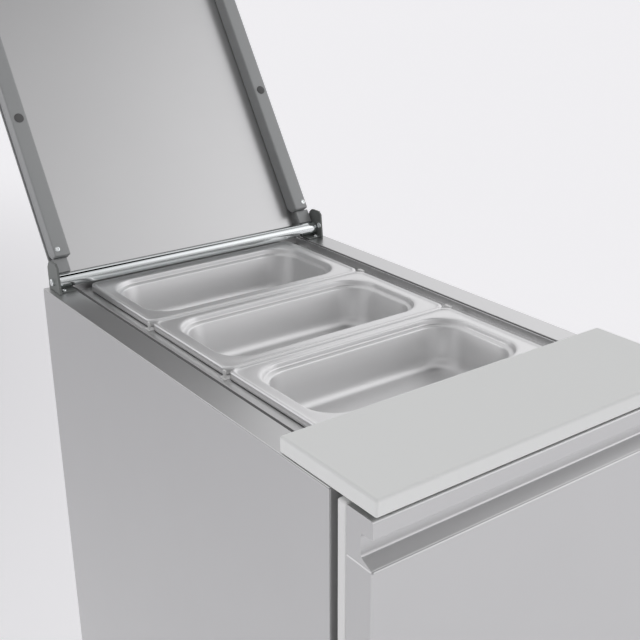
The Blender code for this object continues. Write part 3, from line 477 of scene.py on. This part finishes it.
def make_cabinet():
    """The cabinet's sheets, the well and the screws of the rear panel."""
    for node, width, grain in CABINET_SHEETS:
        refined(node, width * MM, "stainless_panel", grain)
    for word in ("front", "rear"):
        refined(f"divider_bar_{word}", 0.4 * MM, "white_plastic")
    refined("well_seal", 0.3 * MM, "seal_rubber")
    refined("liner", 0.6 * MM, "stainless_panel", "Z", 2)
    paint(NODES["insulation"], finish("foam"))

    low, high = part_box("rear_panel")
    inset, rows = 12 * MM, 4
    xs = (low.x + inset, 0, high.x - inset)
    zs = [low.z + inset + k * (high.z - low.z - 2 * inset) / (rows - 1) for k in range(rows)]
    seats = [
        aim((x, high.y - 0.2 * MM, z), Y_AXIS)
        for x in xs for z in zs if x or z in (zs[0], zs[-1])
    ]
    screws("rear_panel_screws", seats, 4 * MM, 1.9 * MM, "cabinet")


def make_brackets():
    """The lid's two brackets, each with its foot's screw and the stud that stops the lid."""
    sheet, foot_sheet = 3 * MM, 1.8 * MM
    for word, side in SIDES:
        node = f"hinge_bracket_{word}"
        refined(node, 0.7 * MM, "dark_bracket")
        low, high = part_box(node)
        outer = high.x if side > 0 else low.x
        seat = aim((outer - side * 9 * MM, low.y + 8 * MM, low.z + foot_sheet), Z_AXIS)
        screws(f"bracket_screw_{word}", [seat], 3.2 * MM, 1.9 * MM, "cabinet")
        inner = outer - side * sheet
        stop = aim((inner, low.y + 6.5 * MM, low.z + 18.5 * MM), -side * X_AXIS)
        screws(f"lid_stop_{word}", [stop], 4.5 * MM, 1.3 * MM, "cabinet")


# ---- Lid ------------------------------------------------------------------------------------

LID_AXIS = Vector(JOINTS["lid_hinge"]["pos_m"])
LID_OPEN = math.radians(JOINTS["lid_hinge"]["range_deg"][0])
LID_PLACE = Matrix.Translation(LID_AXIS) @ Matrix.Rotation(LID_OPEN, 4, "X")
LID_CLOSED = LID_PLACE.inverted()


def closed_box(node):
    """A lid node's corners about the hinge axis, with the lid closed."""
    corners = [LID_CLOSED @ vertex.co for vertex in NODES[node].data.vertices]
    low = Vector([min(c[i] for c in corners) for i in range(3)])
    high = Vector([max(c[i] for c in corners) for i in range(3)])
    return low, high


def make_rod():
    """The cross rod, with a pin turned on each end for the brackets."""
    low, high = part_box("cross_rod")
    radius = (high.z - low.z) / 2 - 0.05 * MM
    end, neck, pin, chamfer = high.x, high.x - 6.8 * MM, 5 * MM, 0.8 * MM
    half = [
        (0.4 * pin, end), (pin - chamfer, end), (pin, end - chamfer), (pin, neck),
        (radius - 1.2 * MM, neck), (radius - 0.35 * MM, neck - 0.35 * MM),
        (radius, neck - 1.2 * MM),
    ]
    profile = half + [(r, -x) for r, x in reversed(half)]
    centre = (low + high) / 2
    rod = piece(
        "cross_rod_bar", moved(lathe(profile, 64), aim(centre, X_AXIS)), "bright_rod",
        "lid", "cross_rod",
    )
    soften(rod, 0.15 * MM, 1, 50)


def make_lid_sheet():
    """The lid's sheet, folded round at its front."""
    low, high = closed_box("lid_panel")
    sheet, hem, bend = 1.2 * MM, 10 * MM, 2.2 * MM
    outline = filleted(
        [
            (high.y, high.z - sheet, 0), (high.y, high.z, 0),
            (low.y, high.z, bend), (low.y, low.z, bend),
            (low.y + hem, low.z, 0), (low.y + hem, low.z + sheet, 0),
            (low.y + sheet, low.z + sheet, bend - sheet),
            (low.y + sheet, high.z - sheet, bend - sheet),
        ]
    )
    panel = moved(extruded(outline, low.x, high.x, "X"), LID_PLACE)
    soften(
        piece("lid_sheet", panel, "stainless_panel", "lid", "lid_panel", grain="X"), 0.35 * MM, 2
    )


def make_lid_arms():
    """The lid's two arms, each with its hinge strap, a screw and two pads."""
    chamfer, fold, sunk = 8 * MM, 2.4 * MM, 0.2 * MM
    pad = [(6.4 * MM, 0), (6.4 * MM, 0.8 * MM), (5.8 * MM, 1.2 * MM)]
    for word, side in SIDES:
        low, high = closed_box(f"lid_arm_{word}")
        outline = [
            (high.y, low.z), (high.y, high.z - chamfer), (high.y - chamfer, high.z),
            (low.y, high.z), (low.y, low.z),
        ]
        arm = piece(
            f"lid_arm_{word}_channel", moved(extruded(outline, low.x, high.x, "X"), LID_PLACE),
            "lid_arm_steel", "lid", f"lid_arm_{word}",
        )
        soften(arm, fold, 4)
        strap = refined(f"hinge_strap_{word}", 1.2 * MM, "lid_arm_steel")
        strap.name = f"hinge_strap_{word}_plate"

        middle, under = (low.x + high.x) / 2, low.z + sunk
        seat = LID_PLACE @ aim((middle + side * 5 * MM, high.y - 10 * MM, under), -Z_AXIS)
        screws(f"arm_screw_{word}", [seat], 3.6 * MM, 1.3 * MM, "lid")
        pads = []
        for share in (0.08, 0.6):
            spot = aim((middle, low.y + share * (high.y - low.y), under), -Z_AXIS)
            pads.append(moved(lathe(pad, 32), LID_PLACE @ spot))
        piece(f"lid_pads_{word}", joined(pads), "seal_rubber", "lid")


# ---- Door -----------------------------------------------------------------------------------


def make_door_tray():
    """The door's outer skin: a sheet tray with rounded folds, open at its back."""
    low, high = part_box("door_outer_skin")
    sheet, bend = 1.2 * MM, 2.5 * MM
    skin = bmesh.new()
    place = Matrix.Translation((low + high) / 2) @ Matrix.Diagonal((*(high - low), 1))
    bmesh.ops.create_cube(skin, size=1, matrix=place)
    back_face = max(skin.faces, key=lambda face: face.calc_center_median().y)
    bmesh.ops.delete(skin, geom=[back_face], context="FACES")
    folds = [edge for edge in skin.edges if not edge.is_boundary]
    bmesh.ops.bevel(skin, geom=folds, offset=bend, segments=5, profile=0.5, affect="EDGES")
    bmesh.ops.recalc_face_normals(skin, faces=skin.faces)
    tray = piece(
        "door_outer_tray", skin, "stainless_panel", "door", "door_outer_skin", grain="Z"
    )
    shell = tray.modifiers.new("sheet", "SOLIDIFY")
    shell.thickness = sheet
    shell.offset = -1
    tray.modifiers.new("shading", "WEIGHTED_NORMAL")


def make_door_grip():
    """The grip profile along the door's top."""
    low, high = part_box("door_grip")
    lip, finger, web = 18 * MM, 16 * MM, 8 * MM
    outline = filleted(
        [
            (low.y, low.z, 0.6 * MM), (high.y, low.z, 0.4 * MM), (high.y, high.z, 1.5 * MM),
            (low.y, high.z, 4 * MM), (low.y, high.z - lip, 1.2 * MM),
            (low.y + finger, high.z - lip, 5 * MM), (low.y + finger, low.z + web, 3 * MM),
        ]
    )
    grip = piece(
        "door_grip_profile", extruded(outline, low.x, high.x, "X"), "stainless_panel", "door",
        "door_grip", grain="X",
    )
    soften(grip, 0.5 * MM, 2, 50)


def make_gasket():
    """The door seal: a hollow bellows with a fixing lip, mitred round the door."""
    low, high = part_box("door_gasket")
    centre, half = (low + high) / 2, (high - low) / 2
    width, thick, corner = 14 * MM, high.y - low.y, 16 * MM
    section = [  # inset from the seal's outer edge, distance from the door
        (0.5 * MM, 0), (width - 0.5 * MM, 0), (width, 0.25 * thick),
        (width - 2.5 * MM, 0.38 * thick), (width - 3.2 * MM, 0.5 * thick),
        (width - 1.0 * MM, 0.66 * thick), (width - 0.6 * MM, 0.9 * thick),
        (width - 2.0 * MM, thick), (2.0 * MM, thick), (0.6 * MM, 0.9 * thick),
        (1.0 * MM, 0.66 * thick), (3.2 * MM, 0.5 * thick), (2.5 * MM, 0.38 * thick),
        (0, 0.25 * thick),
    ]
    rings = []
    for inset, distance in section:
        outline = rounded_rectangle(
            half.x - inset, half.z - inset, max(1 * MM, corner - inset), 5
        )
        rings.append([Vector((x, low.y + distance, centre.z + z)) for x, z in outline])
    soften(
        piece("door_seal", loft(rings, True), "seal_rubber", "door", "door_gasket"), 0.3 * MM, 1
    )


def make_door():
    """The whole door, with its core, inner panel and hinge plates."""
    make_door_tray()
    make_door_grip()
    refined("door_core", 1.0 * MM, "foam", segments=4)
    refined("door_inner_panel", 2.5 * MM, "white_plastic", segments=4)
    make_gasket()
    for word in ("top", "bottom"):
        refined(f"door_hinge_{word}", 0.5 * MM, "zinc_fork")


# ---- Machine compartment --------------------------------------------------------------------


def make_grille():
    """The grille: a slanted louvre behind each slot, and four screws."""
    refined("front_grille", 0.5 * MM, "stainless_panel", "X")
    low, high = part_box("front_grille")
    slots, pitch, first_slot, slot_height, half = 6, 22 * MM, 22 * MM, 10 * MM, 184 * MM
    fins = []
    for number in range(slots):
        base = low.z + first_slot + number * pitch
        outline = [
            (low.y + 1.4 * MM, base + slot_height + 1.5 * MM),
            (low.y + 2.4 * MM, base + slot_height + 1.9 * MM),
            (low.y + 10.4 * MM, base - 2.5 * MM), (low.y + 9.4 * MM, base - 3.1 * MM),
        ]
        fins.append(extruded(outline, -half, half, "X"))
    soften(
        piece("grille_louvres", joined(fins), "stainless_panel", "cabinet", grain="X"),
        0.25 * MM, 1,
    )
    reach, inset = 205 * MM, 14 * MM
    seats = [
        aim((side * reach, low.y + 0.2 * MM, z), -Y_AXIS)
        for _, side in SIDES for z in (low.z + inset, high.z - inset)
    ]
    screws("grille_screws", seats, 4 * MM, 2 * MM, "cabinet")


DISPLAY_RED = (1.0, 0.06, 0.03, 1.0)
DISPLAY_GLOW = 3.0
SEGMENTS = {3: "abcdg", 8: "abcdefg"}


def make_controls():
    """The controller with its keys, window and lit digits, and the rocker switch."""
    refined("controller_body", 0.8 * MM, "black_plastic")
    refined("rocker_housing", 0.7 * MM, "black_plastic")
    for word in ("set", "up", "down"):
        refined(f"key_{word}", 0.3 * MM, "black_plastic")
    refined("power_rocker", 0.5 * MM, "green_lens")
    low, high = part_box("controller_body")
    x0, z0 = low.x + 8 * MM, (low.z + high.z) / 2
    wide, half_tall = 28 * MM, 8 * MM
    pane = rounded_box(
        (x0, low.y - 0.6 * MM, z0 - half_tall), (x0 + wide, low.y + 0.3 * MM, z0 + half_tall),
        0.4 * MM, 2,
    )
    window = piece("controller_window", pane, "black_plastic", "cabinet")
    paint(window, special("display_window", Coat_Weight=1.0))
    bars = []
    face, thick = low.y - 0.75 * MM, 0.3 * MM
    for place, digit in ((x0 + 9 * MM, 3), (x0 + 19 * MM, 8)):
        bars += [
            rounded_box((cx - hx, face, cz - hz), (cx + hx, face + thick, cz + hz), 0.1 * MM, 1)
            for cx, cz, hx, hz in seven_segments(place, z0, digit)
        ]
    digits = piece("controller_digits", joined(bars), "green_lens", "cabinet")
    paint(
        digits,
        special("display_red", Emission_Color=DISPLAY_RED, Emission_Strength=DISPLAY_GLOW),
    )


def seven_segments(x, z, digit):
    """The lit bars of a digit: centre and half sizes."""
    reach, rise, long, thin = 2.4 * MM, 4.6 * MM, 1.9 * MM, 0.5 * MM
    bars = {
        "a": (x, z + rise, long, thin), "g": (x, z, long, thin), "d": (x, z - rise, long, thin),
        "b": (x + reach, z + rise / 2, thin, long), "c": (x + reach, z - rise / 2, thin, long),
        "f": (x - reach, z + rise / 2, thin, long), "e": (x - reach, z - rise / 2, thin, long),
    }
    return [bars[name] for name in SEGMENTS[digit]]


# a blade's section: share of the chord, height above it in thicknesses
BLADE_SECTION = (
    (-0.5, 0), (-0.25, 1), (0, 1.2), (0.25, 1), (0.5, 0), (0.25, -0.4), (0, -0.2), (-0.25, -0.4)
)


def fan(node, count):
    """An axial fan: a domed hub and twisted, swept blades, turning about Y."""
    low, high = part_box(node)
    centre = (low + high) / 2
    tip = (high.z - low.z) / 2 - 0.5 * MM
    hub, deep, thickness = 0.26 * tip, high.y - low.y, 0.7 * MM
    root, reach = 0.85 * hub, 0.46 * deep
    dome = [
        (0.2 * hub, -0.5 * deep), (0.7 * hub, -0.47 * deep), (0.95 * hub, -0.36 * deep),
        (hub, -0.2 * deep), (hub, 0.5 * deep), (0.2 * hub, 0.5 * deep),
    ]
    shapes = [moved(lathe(dome, 32), aim(centre, Y_AXIS))]
    for number in range(count):
        rings = []
        for part in range(7):
            t = part / 6
            radius = root + t * (tip - root)
            chord = tip * (0.42 + 0.30 * math.sin(math.pi * t * 0.75))
            pitch = math.radians(42 - 18 * t)
            lean = 0.35 * t
            ring = []
            for along, off in BLADE_SECTION:
                across = along * chord * math.cos(pitch)
                axial = along * chord * math.sin(pitch) + off * thickness
                angle = 2 * math.pi * number / count + lean + across / radius
                axial = max(-reach, min(reach, axial))
                ring.append(
                    centre + Vector((radius * math.cos(angle), axial, radius * math.sin(angle)))
                )
            rings.append(ring)
        shapes.append(loft(rings))
    piece(f"{node}_blades", joined(shapes), "black_plastic", BODY[node], node)


def finned_coil(node, fin_count, tube_rows):
    """Thin plates on copper tubes, joined by return bends at the ends."""
    low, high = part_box(node)
    margin, half_fin, radius, overhang = 9 * MM, 0.15 * MM, 4 * MM, 2 * MM
    first, last = low.x + margin, high.x - margin
    fins = []
    for number in range(fin_count):
        x = first + (last - first) * number / (fin_count - 1)
        fins.append(
            rounded_box((x - half_fin, low.y, low.z), (x + half_fin, high.y, high.z), 0.05 * MM, 1)
        )
    piece(f"{node}_fins", joined(fins), "coil_fins", "cabinet", node)
    pitch = (high.z - low.z) / tube_rows
    middle = (low.y + high.y) / 2
    bend = min(pitch / 2, margin - radius)
    path = []
    for row in range(tube_rows):
        z = low.z + pitch * (row + 0.5)
        ends = (first - overhang, last + overhang)
        for end in ends if row % 2 == 0 else ends[::-1]:
            path.append((end, middle, z))
        if row < tube_rows - 1:
            out = bend if row % 2 == 0 else -bend
            turn_start = path[-1][0]
            for step in range(1, 6):
                angle = math.pi * step / 6
                rise = pitch / 2 * (1 - math.cos(angle))
                path.append((turn_start + out * math.sin(angle), middle, z + rise))
    piece(f"{node}_tubes", sweep(path, radius, 10), "copper", "cabinet")


def make_compressor():
    """The compressor: a welded shell on four rubber mounts."""
    low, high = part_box("compressor")
    centre = (low + high) / 2
    radius, tall = (high.x - low.x) / 2, high.z - low.z
    profile = [
        (0.30 * radius, tall), (0.55 * radius, tall - 3 * MM), (0.80 * radius, tall - 14 * MM),
        (0.93 * radius, tall - 32 * MM), (0.97 * radius, 0.52 * tall),
        (0.99 * radius, 0.505 * tall), (0.99 * radius, 0.495 * tall), (0.97 * radius, 0.48 * tall),
        (0.96 * radius, 44 * MM), (0.86 * radius, 22 * MM), (0.60 * radius, 13 * MM),
        (0.30 * radius, 12 * MM),
    ]
    base = Vector((centre.x, centre.y, low.z))
    shapes = [moved(lathe(profile, 56), Matrix.Translation(base))]
    mount = [(9 * MM, 0), (10 * MM, 3 * MM), (8 * MM, 16 * MM), (5 * MM, 22 * MM)]
    for angle in DIAGONALS:
        foot = Vector((math.cos(angle), math.sin(angle), 0)) * 0.86 * radius
        shapes.append(moved(lathe(mount, 20), Matrix.Translation(base + foot)))
    soften(
        piece("compressor_shell", joined(shapes), "compressor_black", "cabinet", "compressor"),
        0.6 * MM, 2, 40,
    )


def make_machine():
    """The compressor, both coils and fans, the motor, the tray and the pipes."""
    make_compressor()
    finned_coil("condenser", 80, 8)
    finned_coil("evaporator", 90, 6)
    refined("condenser_fan_motor", 1.0 * MM, "zinc_fork")
    fan("condenser_fan", 5)
    fan("evaporator_fan", 7)
    refined("evaporation_tray", 0.8 * MM, "black_plastic")
    for node, slot in (("drain_tube", "clear_tube"), ("suction_pipe", "copper")):
        paint(NODES[node], finish(slot))
        NODES[node].data.shade_smooth()


def make_inlet():
    """A cord gland: a hexagon nut, a clamping dome and a threaded neck."""
    low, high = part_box("power_inlet")
    centre = (low + high) / 2
    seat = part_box("rear_panel")[1].y
    steps, reach = 48, high.y - seat
    neck, nut, bore = 8 * MM, 12.8 * MM, 4.2 * MM
    rings = [
        circle(neck, low.y - seat, steps), circle(neck, 0, steps),
        circle(nut, 0.1 * MM, steps, 6), circle(nut, 0.42 * reach, steps, 6),
        circle(11 * MM, 0.5 * reach, steps), circle(10.2 * MM, 0.75 * reach, steps),
        circle(neck, 0.95 * reach, steps), circle(6 * MM, reach, steps),
        circle(bore, reach, steps), circle(bore, 0.3 * reach, steps),
    ]
    place = aim((centre.x, seat, centre.z), Y_AXIS)
    gland = piece(
        "power_inlet_gland", moved(loft(rings), place), "black_plastic", "cabinet", "power_inlet"
    )
    soften(gland, 0.3 * MM, 2)


def make_evaporator_cover():
    """The evaporator's cover, with a wire guard in front of its fan."""
    refined("evaporator_cover", 0.6 * MM, "white_plastic")
    low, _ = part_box("evaporator_cover")
    fan_low, fan_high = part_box("evaporator_fan")
    centre = (fan_low + fan_high) / 2
    face = Vector((centre.x, low.y - 1.2 * MM, centre.z))
    place = aim(face, Y_AXIS)
    spoke_start, spoke_end = 10 * MM, 51 * MM
    wires = [
        sweep([place @ point for point in circle(radius * MM, 0, 48)], 0.9 * MM, 8, True)
        for radius in (10, 18, 26, 34, 42, 49.5)
    ]
    for angle in DIAGONALS:
        out = Vector((math.cos(angle), 0, math.sin(angle)))
        wires.append(sweep([face + out * spoke_start, face + out * spoke_end], 1.1 * MM, 8))
    piece("fan_guard", joined(wires), "bright_rod", "cabinet")


def make_shelf():
    """A wire shelf: a round frame, bars front to back and two cross wires."""
    low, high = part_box("wire_shelf")
    centre, half = (low + high) / 2, (high - low) / 2
    thick, thin = half.z, 1.5 * MM
    frame_path = [
        (x, centre.y + y, centre.z)
        for x, y in rounded_rectangle(half.x - thick, half.y - thick, 12 * MM, 6)
    ]
    wires = [sweep(frame_path, thick, 12, True)]
    spaces = 17
    for number in range(1, spaces):
        x = low.x + 2 * half.x * number / spaces
        wires.append(
            sweep([(x, low.y + thick, high.z - thin), (x, high.y - thick, high.z - thin)], thin)
        )
    for share in (0.3, 0.7):
        y = low.y + 2 * half.y * share
        z = low.z + thin
        wires.append(sweep([(low.x + thick, y, z), (high.x - thick, y, z)], thin))
    piece("wire_shelf_rack", joined(wires), "bright_rod", "cabinet", "wire_shelf")


# ---- Castors --------------------------------------------------------------------------------


def make_wheel(wheel):
    """A castor's wheel: a rounded tyre on a hub with sunk sides."""
    low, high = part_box(wheel)
    centre = (low + high) / 2
    radius, half = (high.z - low.z) / 2, (high.x - low.x) / 2
    place = aim(centre, X_AXIS)
    rim, crown, edge = 0.72 * radius, 3.2 * MM, half - 1.5 * MM
    tread = [(rim, half - 1.6 * MM), (radius - crown, edge)]
    for step in range(1, 8):
        angle = math.pi / 2 - math.pi * step / 8
        tread.append((radius - crown + crown * math.cos(angle) ** 0.6, edge * math.sin(angle)))
    tread += [(r, -h) for r, h in (tread[1], tread[0])]
    tyre = piece(
        f"{wheel}_tyre", moved(lathe(tread, 72, True), place), "grey_tyre", BODY[wheel], wheel
    )
    soften(tyre, 0.4 * MM, 2, 50)
    hub = [
        (4.4 * MM, half), (11 * MM, half), (12.4 * MM, half - 1.2 * MM), (13 * MM, half - 5 * MM),
        (rim - 3 * MM, half - 5 * MM), (rim - 1.6 * MM, half - 1.2 * MM),
        (rim - 0.05 * MM, half - 1.2 * MM),
    ]
    hub += [(r, -h) for r, h in reversed(hub)]
    core = piece(f"{wheel}_hub", moved(lathe(hub, 72, True), place), "grey_tyre", BODY[wheel])
    soften(core, 0.3 * MM, 2)


def make_axle_nuts(word):
    """The two nuts on a castor's axle, outside its fork."""
    low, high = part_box(f"castor_wheel_{word}")
    centre = (low + high) / 2
    axle, steps, flats = 17 * MM, 24, 6
    nuts = []
    for side in (-1, 1):
        rings = [
            circle(6.6 * MM, 0, steps, flats), circle(6.6 * MM, 2.2 * MM, steps, flats),
            circle(5.6 * MM, 2.9 * MM, steps), circle(3 * MM, 2.9 * MM, steps),
        ]
        seat = aim(centre + side * axle * X_AXIS, side * X_AXIS)
        nuts.append(moved(loft(rings), seat))
    piece(f"axle_nuts_{word}", joined(nuts), "zinc_fork", BODY[f"castor_fork_{word}"])


def make_castor_plate(word):
    """A castor's top plate with its four bolts, fixed under the cabinet."""
    joint = JOINTS[f"castor_swivel_{word}"]["pos_m"]
    plate_half, hole, bolt = 30 * MM, 20.8 * MM, 24 * MM
    square = rounded_rectangle(plate_half, plate_half, 5 * MM)
    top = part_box(f"castor_fork_{word}")[1].z
    under = top - 2.5 * MM
    rings = []
    for height, open_ in ((top, False), (under, False), (under, True), (top, True)):
        ring = []
        for x, y in square:
            scale = hole / math.hypot(x, y) if open_ else 1.0
            ring.append(Vector((joint[0] + x * scale, joint[1] + y * scale, height)))
        rings.append(ring)
    plate = piece(f"castor_plate_{word}", loft(rings, True), "zinc_fork", "cabinet")
    soften(plate, 0.4 * MM, 2, 50)
    corners = [
        aim((joint[0] + sx * bolt, joint[1] + sy * bolt, under + 0.1 * MM), -Z_AXIS)
        for sx in (-1, 1) for sy in (-1, 1)
    ]
    screws(f"castor_bolts_{word}", corners, 4.5 * MM, 3 * MM, "cabinet")


def make_castors():
    """Four castors, the front two with brake pedals."""
    for end in ("front", "rear"):
        for side, _ in SIDES:
            word = f"{end}_{side}"
            refined(f"castor_fork_{word}", 0.9 * MM, "zinc_fork")
            make_wheel(f"castor_wheel_{word}")
            make_axle_nuts(word)
            make_castor_plate(word)
    for word, _ in SIDES:
        refined(f"brake_pedal_front_{word}", 0.8 * MM, "red_plastic")


# ---- Floor, light and camera ----------------------------------------------------------------

FLOOR_HALF = 40.0
FLOOR_COLOUR = (0.90, 0.895, 0.91, 1)
FLOOR_GLOW = 0.30
# Painted shade on the floor: a soft patch where the floor's glow is weaker, so the side panel reflects a darker
# floor.
FLOOR_PAINTED_SHADE = (Vector((-1.2, 2.6, 0)), 0.5, 3.2, 0.30)  # middle, inner and outer radius, depth


def make_floor():
    """A wide pale floor that glows evenly, with painted shade: its glow is a little weaker in one soft patch
    behind the table's left side.
    """
    mesh = bpy.data.meshes.new("studio_floor")
    corners = [(x * FLOOR_HALF, y * FLOOR_HALF, 0) for x, y in ((-1, -1), (1, -1), (1, 1), (-1, 1))]
    mesh.from_pydata(corners, [], [(0, 1, 2, 3)])
    floor = bpy.data.objects.new("studio_floor", mesh)
    bpy.context.scene.collection.objects.link(floor)
    material = bpy.data.materials.new("floor_paint")
    material.use_nodes = True
    tree = material.node_tree
    shader = tree.nodes["Principled BSDF"]
    shader.inputs["Base Color"].default_value = FLOOR_COLOUR
    shader.inputs["Roughness"].default_value = 0.9
    shader.inputs["Specular IOR Level"].default_value = 0.0
    shader.inputs["Emission Color"].default_value = FLOOR_COLOUR
    middle, inner, outer, depth = FLOOR_PAINTED_SHADE
    place = add_node(tree, "ShaderNodeNewGeometry").outputs["Position"]
    distance = add_node(
        tree, "ShaderNodeVectorMath", {0: place, 1: middle}, operation="DISTANCE"
    ).outputs["Value"]
    # The painted shade: inside the patch the floor's glow drops by depth, and it fades out towards the outer
    # radius.
    glow = add_node(
        tree, "ShaderNodeMapRange",
        {
            "Value": distance, "From Min": inner, "From Max": outer,
            "To Min": FLOOR_GLOW - depth, "To Max": FLOOR_GLOW,
        },
        interpolation_type="SMOOTHSTEP",
    ).outputs["Result"]
    tree.links.new(glow, shader.inputs["Emission Strength"])
    mesh.materials.append(material)


def lobe(tree, direction, start, inner, outer, strength):
    """A soft patch of sky round a direction; angles are in degrees from its middle."""
    aimed = add_node(
        tree, "ShaderNodeVectorMath", {0: start, 1: direction.normalized()},
        operation="DOT_PRODUCT",
    )
    return add_node(
        tree, "ShaderNodeMapRange",
        {
            "Value": aimed.outputs["Value"], "From Min": math.cos(math.radians(outer)),
            "From Max": math.cos(math.radians(inner)), "To Min": 0.0, "To Max": strength,
        },
        interpolation_type="SMOOTHSTEP",
    ).outputs["Result"]


def heading(azimuth, elevation):
    """A direction; azimuth 0 is behind the table and 90 is to its right, in degrees."""
    a, e = math.radians(azimuth), math.radians(elevation)
    return Vector((math.sin(a) * math.cos(e), math.cos(a) * math.cos(e), math.sin(e)))


SKY_COLOUR = (0.99, 0.985, 1.0, 1)
SKY_BASE = 0.58
SKY_LOBES = (  # middle azimuth and elevation, inner and outer angle, strength
    (65, 15, 12, 42, 0.52),
    (125, 26, 6, 34, 0.76),
    (105, 74, 6, 22, -0.65),
    (225, 25, 8, 40, -0.25),
    (45, 60, 6, 20, 0.25),
    (0, 45, 8, 30, 0.30),
    (318, 18, 8, 22, 0.95),
)


def make_sky():
    """An even pale sky with brighter and darker patches round the table."""
    world = bpy.data.worlds.new("studio")
    bpy.context.scene.world = world
    world.use_nodes = True
    tree = world.node_tree
    start = add_node(tree, "ShaderNodeTexCoord").outputs["Generated"]
    total = SKY_BASE
    for azimuth, elevation, inner, outer, strength in SKY_LOBES:
        patch = lobe(tree, heading(azimuth, elevation), start, inner, outer, strength)
        total = add_node(
            tree, "ShaderNodeMath", {0: total, 1: patch}, operation="ADD"
        ).outputs["Value"]
    background = tree.nodes["Background"]
    background.inputs["Color"].default_value = SKY_COLOUR
    tree.links.new(total, background.inputs["Strength"])


CAMERA_FROM_PAN = (-0.5164, -0.7046)  # from the front pan's left front corner, across and along
CAMERA_ABOVE_DECK = 0.4582
CAMERA_TURN = (36.1555, -21.5425, -0.3012)  # yaw to the right, pitch and roll in degrees
CAMERA_LENS, CAMERA_SENSOR = 57.446, 36.0


def make_camera():
    """The camera, before the table's left front corner and looking down into the pans."""
    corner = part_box("pan_front")[0]
    across, along = CAMERA_FROM_PAN
    place = Vector((corner.x + across, corner.y + along, DECK + CAMERA_ABOVE_DECK))
    yaw, pitch, roll = CAMERA_TURN
    camera = bpy.data.cameras.new("camera")
    camera.lens = CAMERA_LENS
    camera.sensor_width = CAMERA_SENSOR
    turn = (
        Matrix.Rotation(math.radians(-yaw), 4, "Z")
        @ Matrix.Rotation(math.radians(90 + pitch), 4, "X")
        @ Matrix.Rotation(math.radians(roll), 4, "Z")
    )
    item = bpy.data.objects.new("camera", camera)
    item.matrix_world = Matrix.Translation(place) @ turn
    bpy.context.scene.collection.objects.link(item)
    bpy.context.scene.camera = item
    bpy.context.scene.view_settings.view_transform = "Standard"


make_camera()
make_floor()
make_sky()
make_pans()
make_board()
make_cabinet()
make_brackets()
make_rod()
make_lid_sheet()
make_lid_arms()
make_door()
make_grille()
make_controls()
make_machine()
make_inlet()
make_evaporator_cover()
make_shelf()
make_castors()
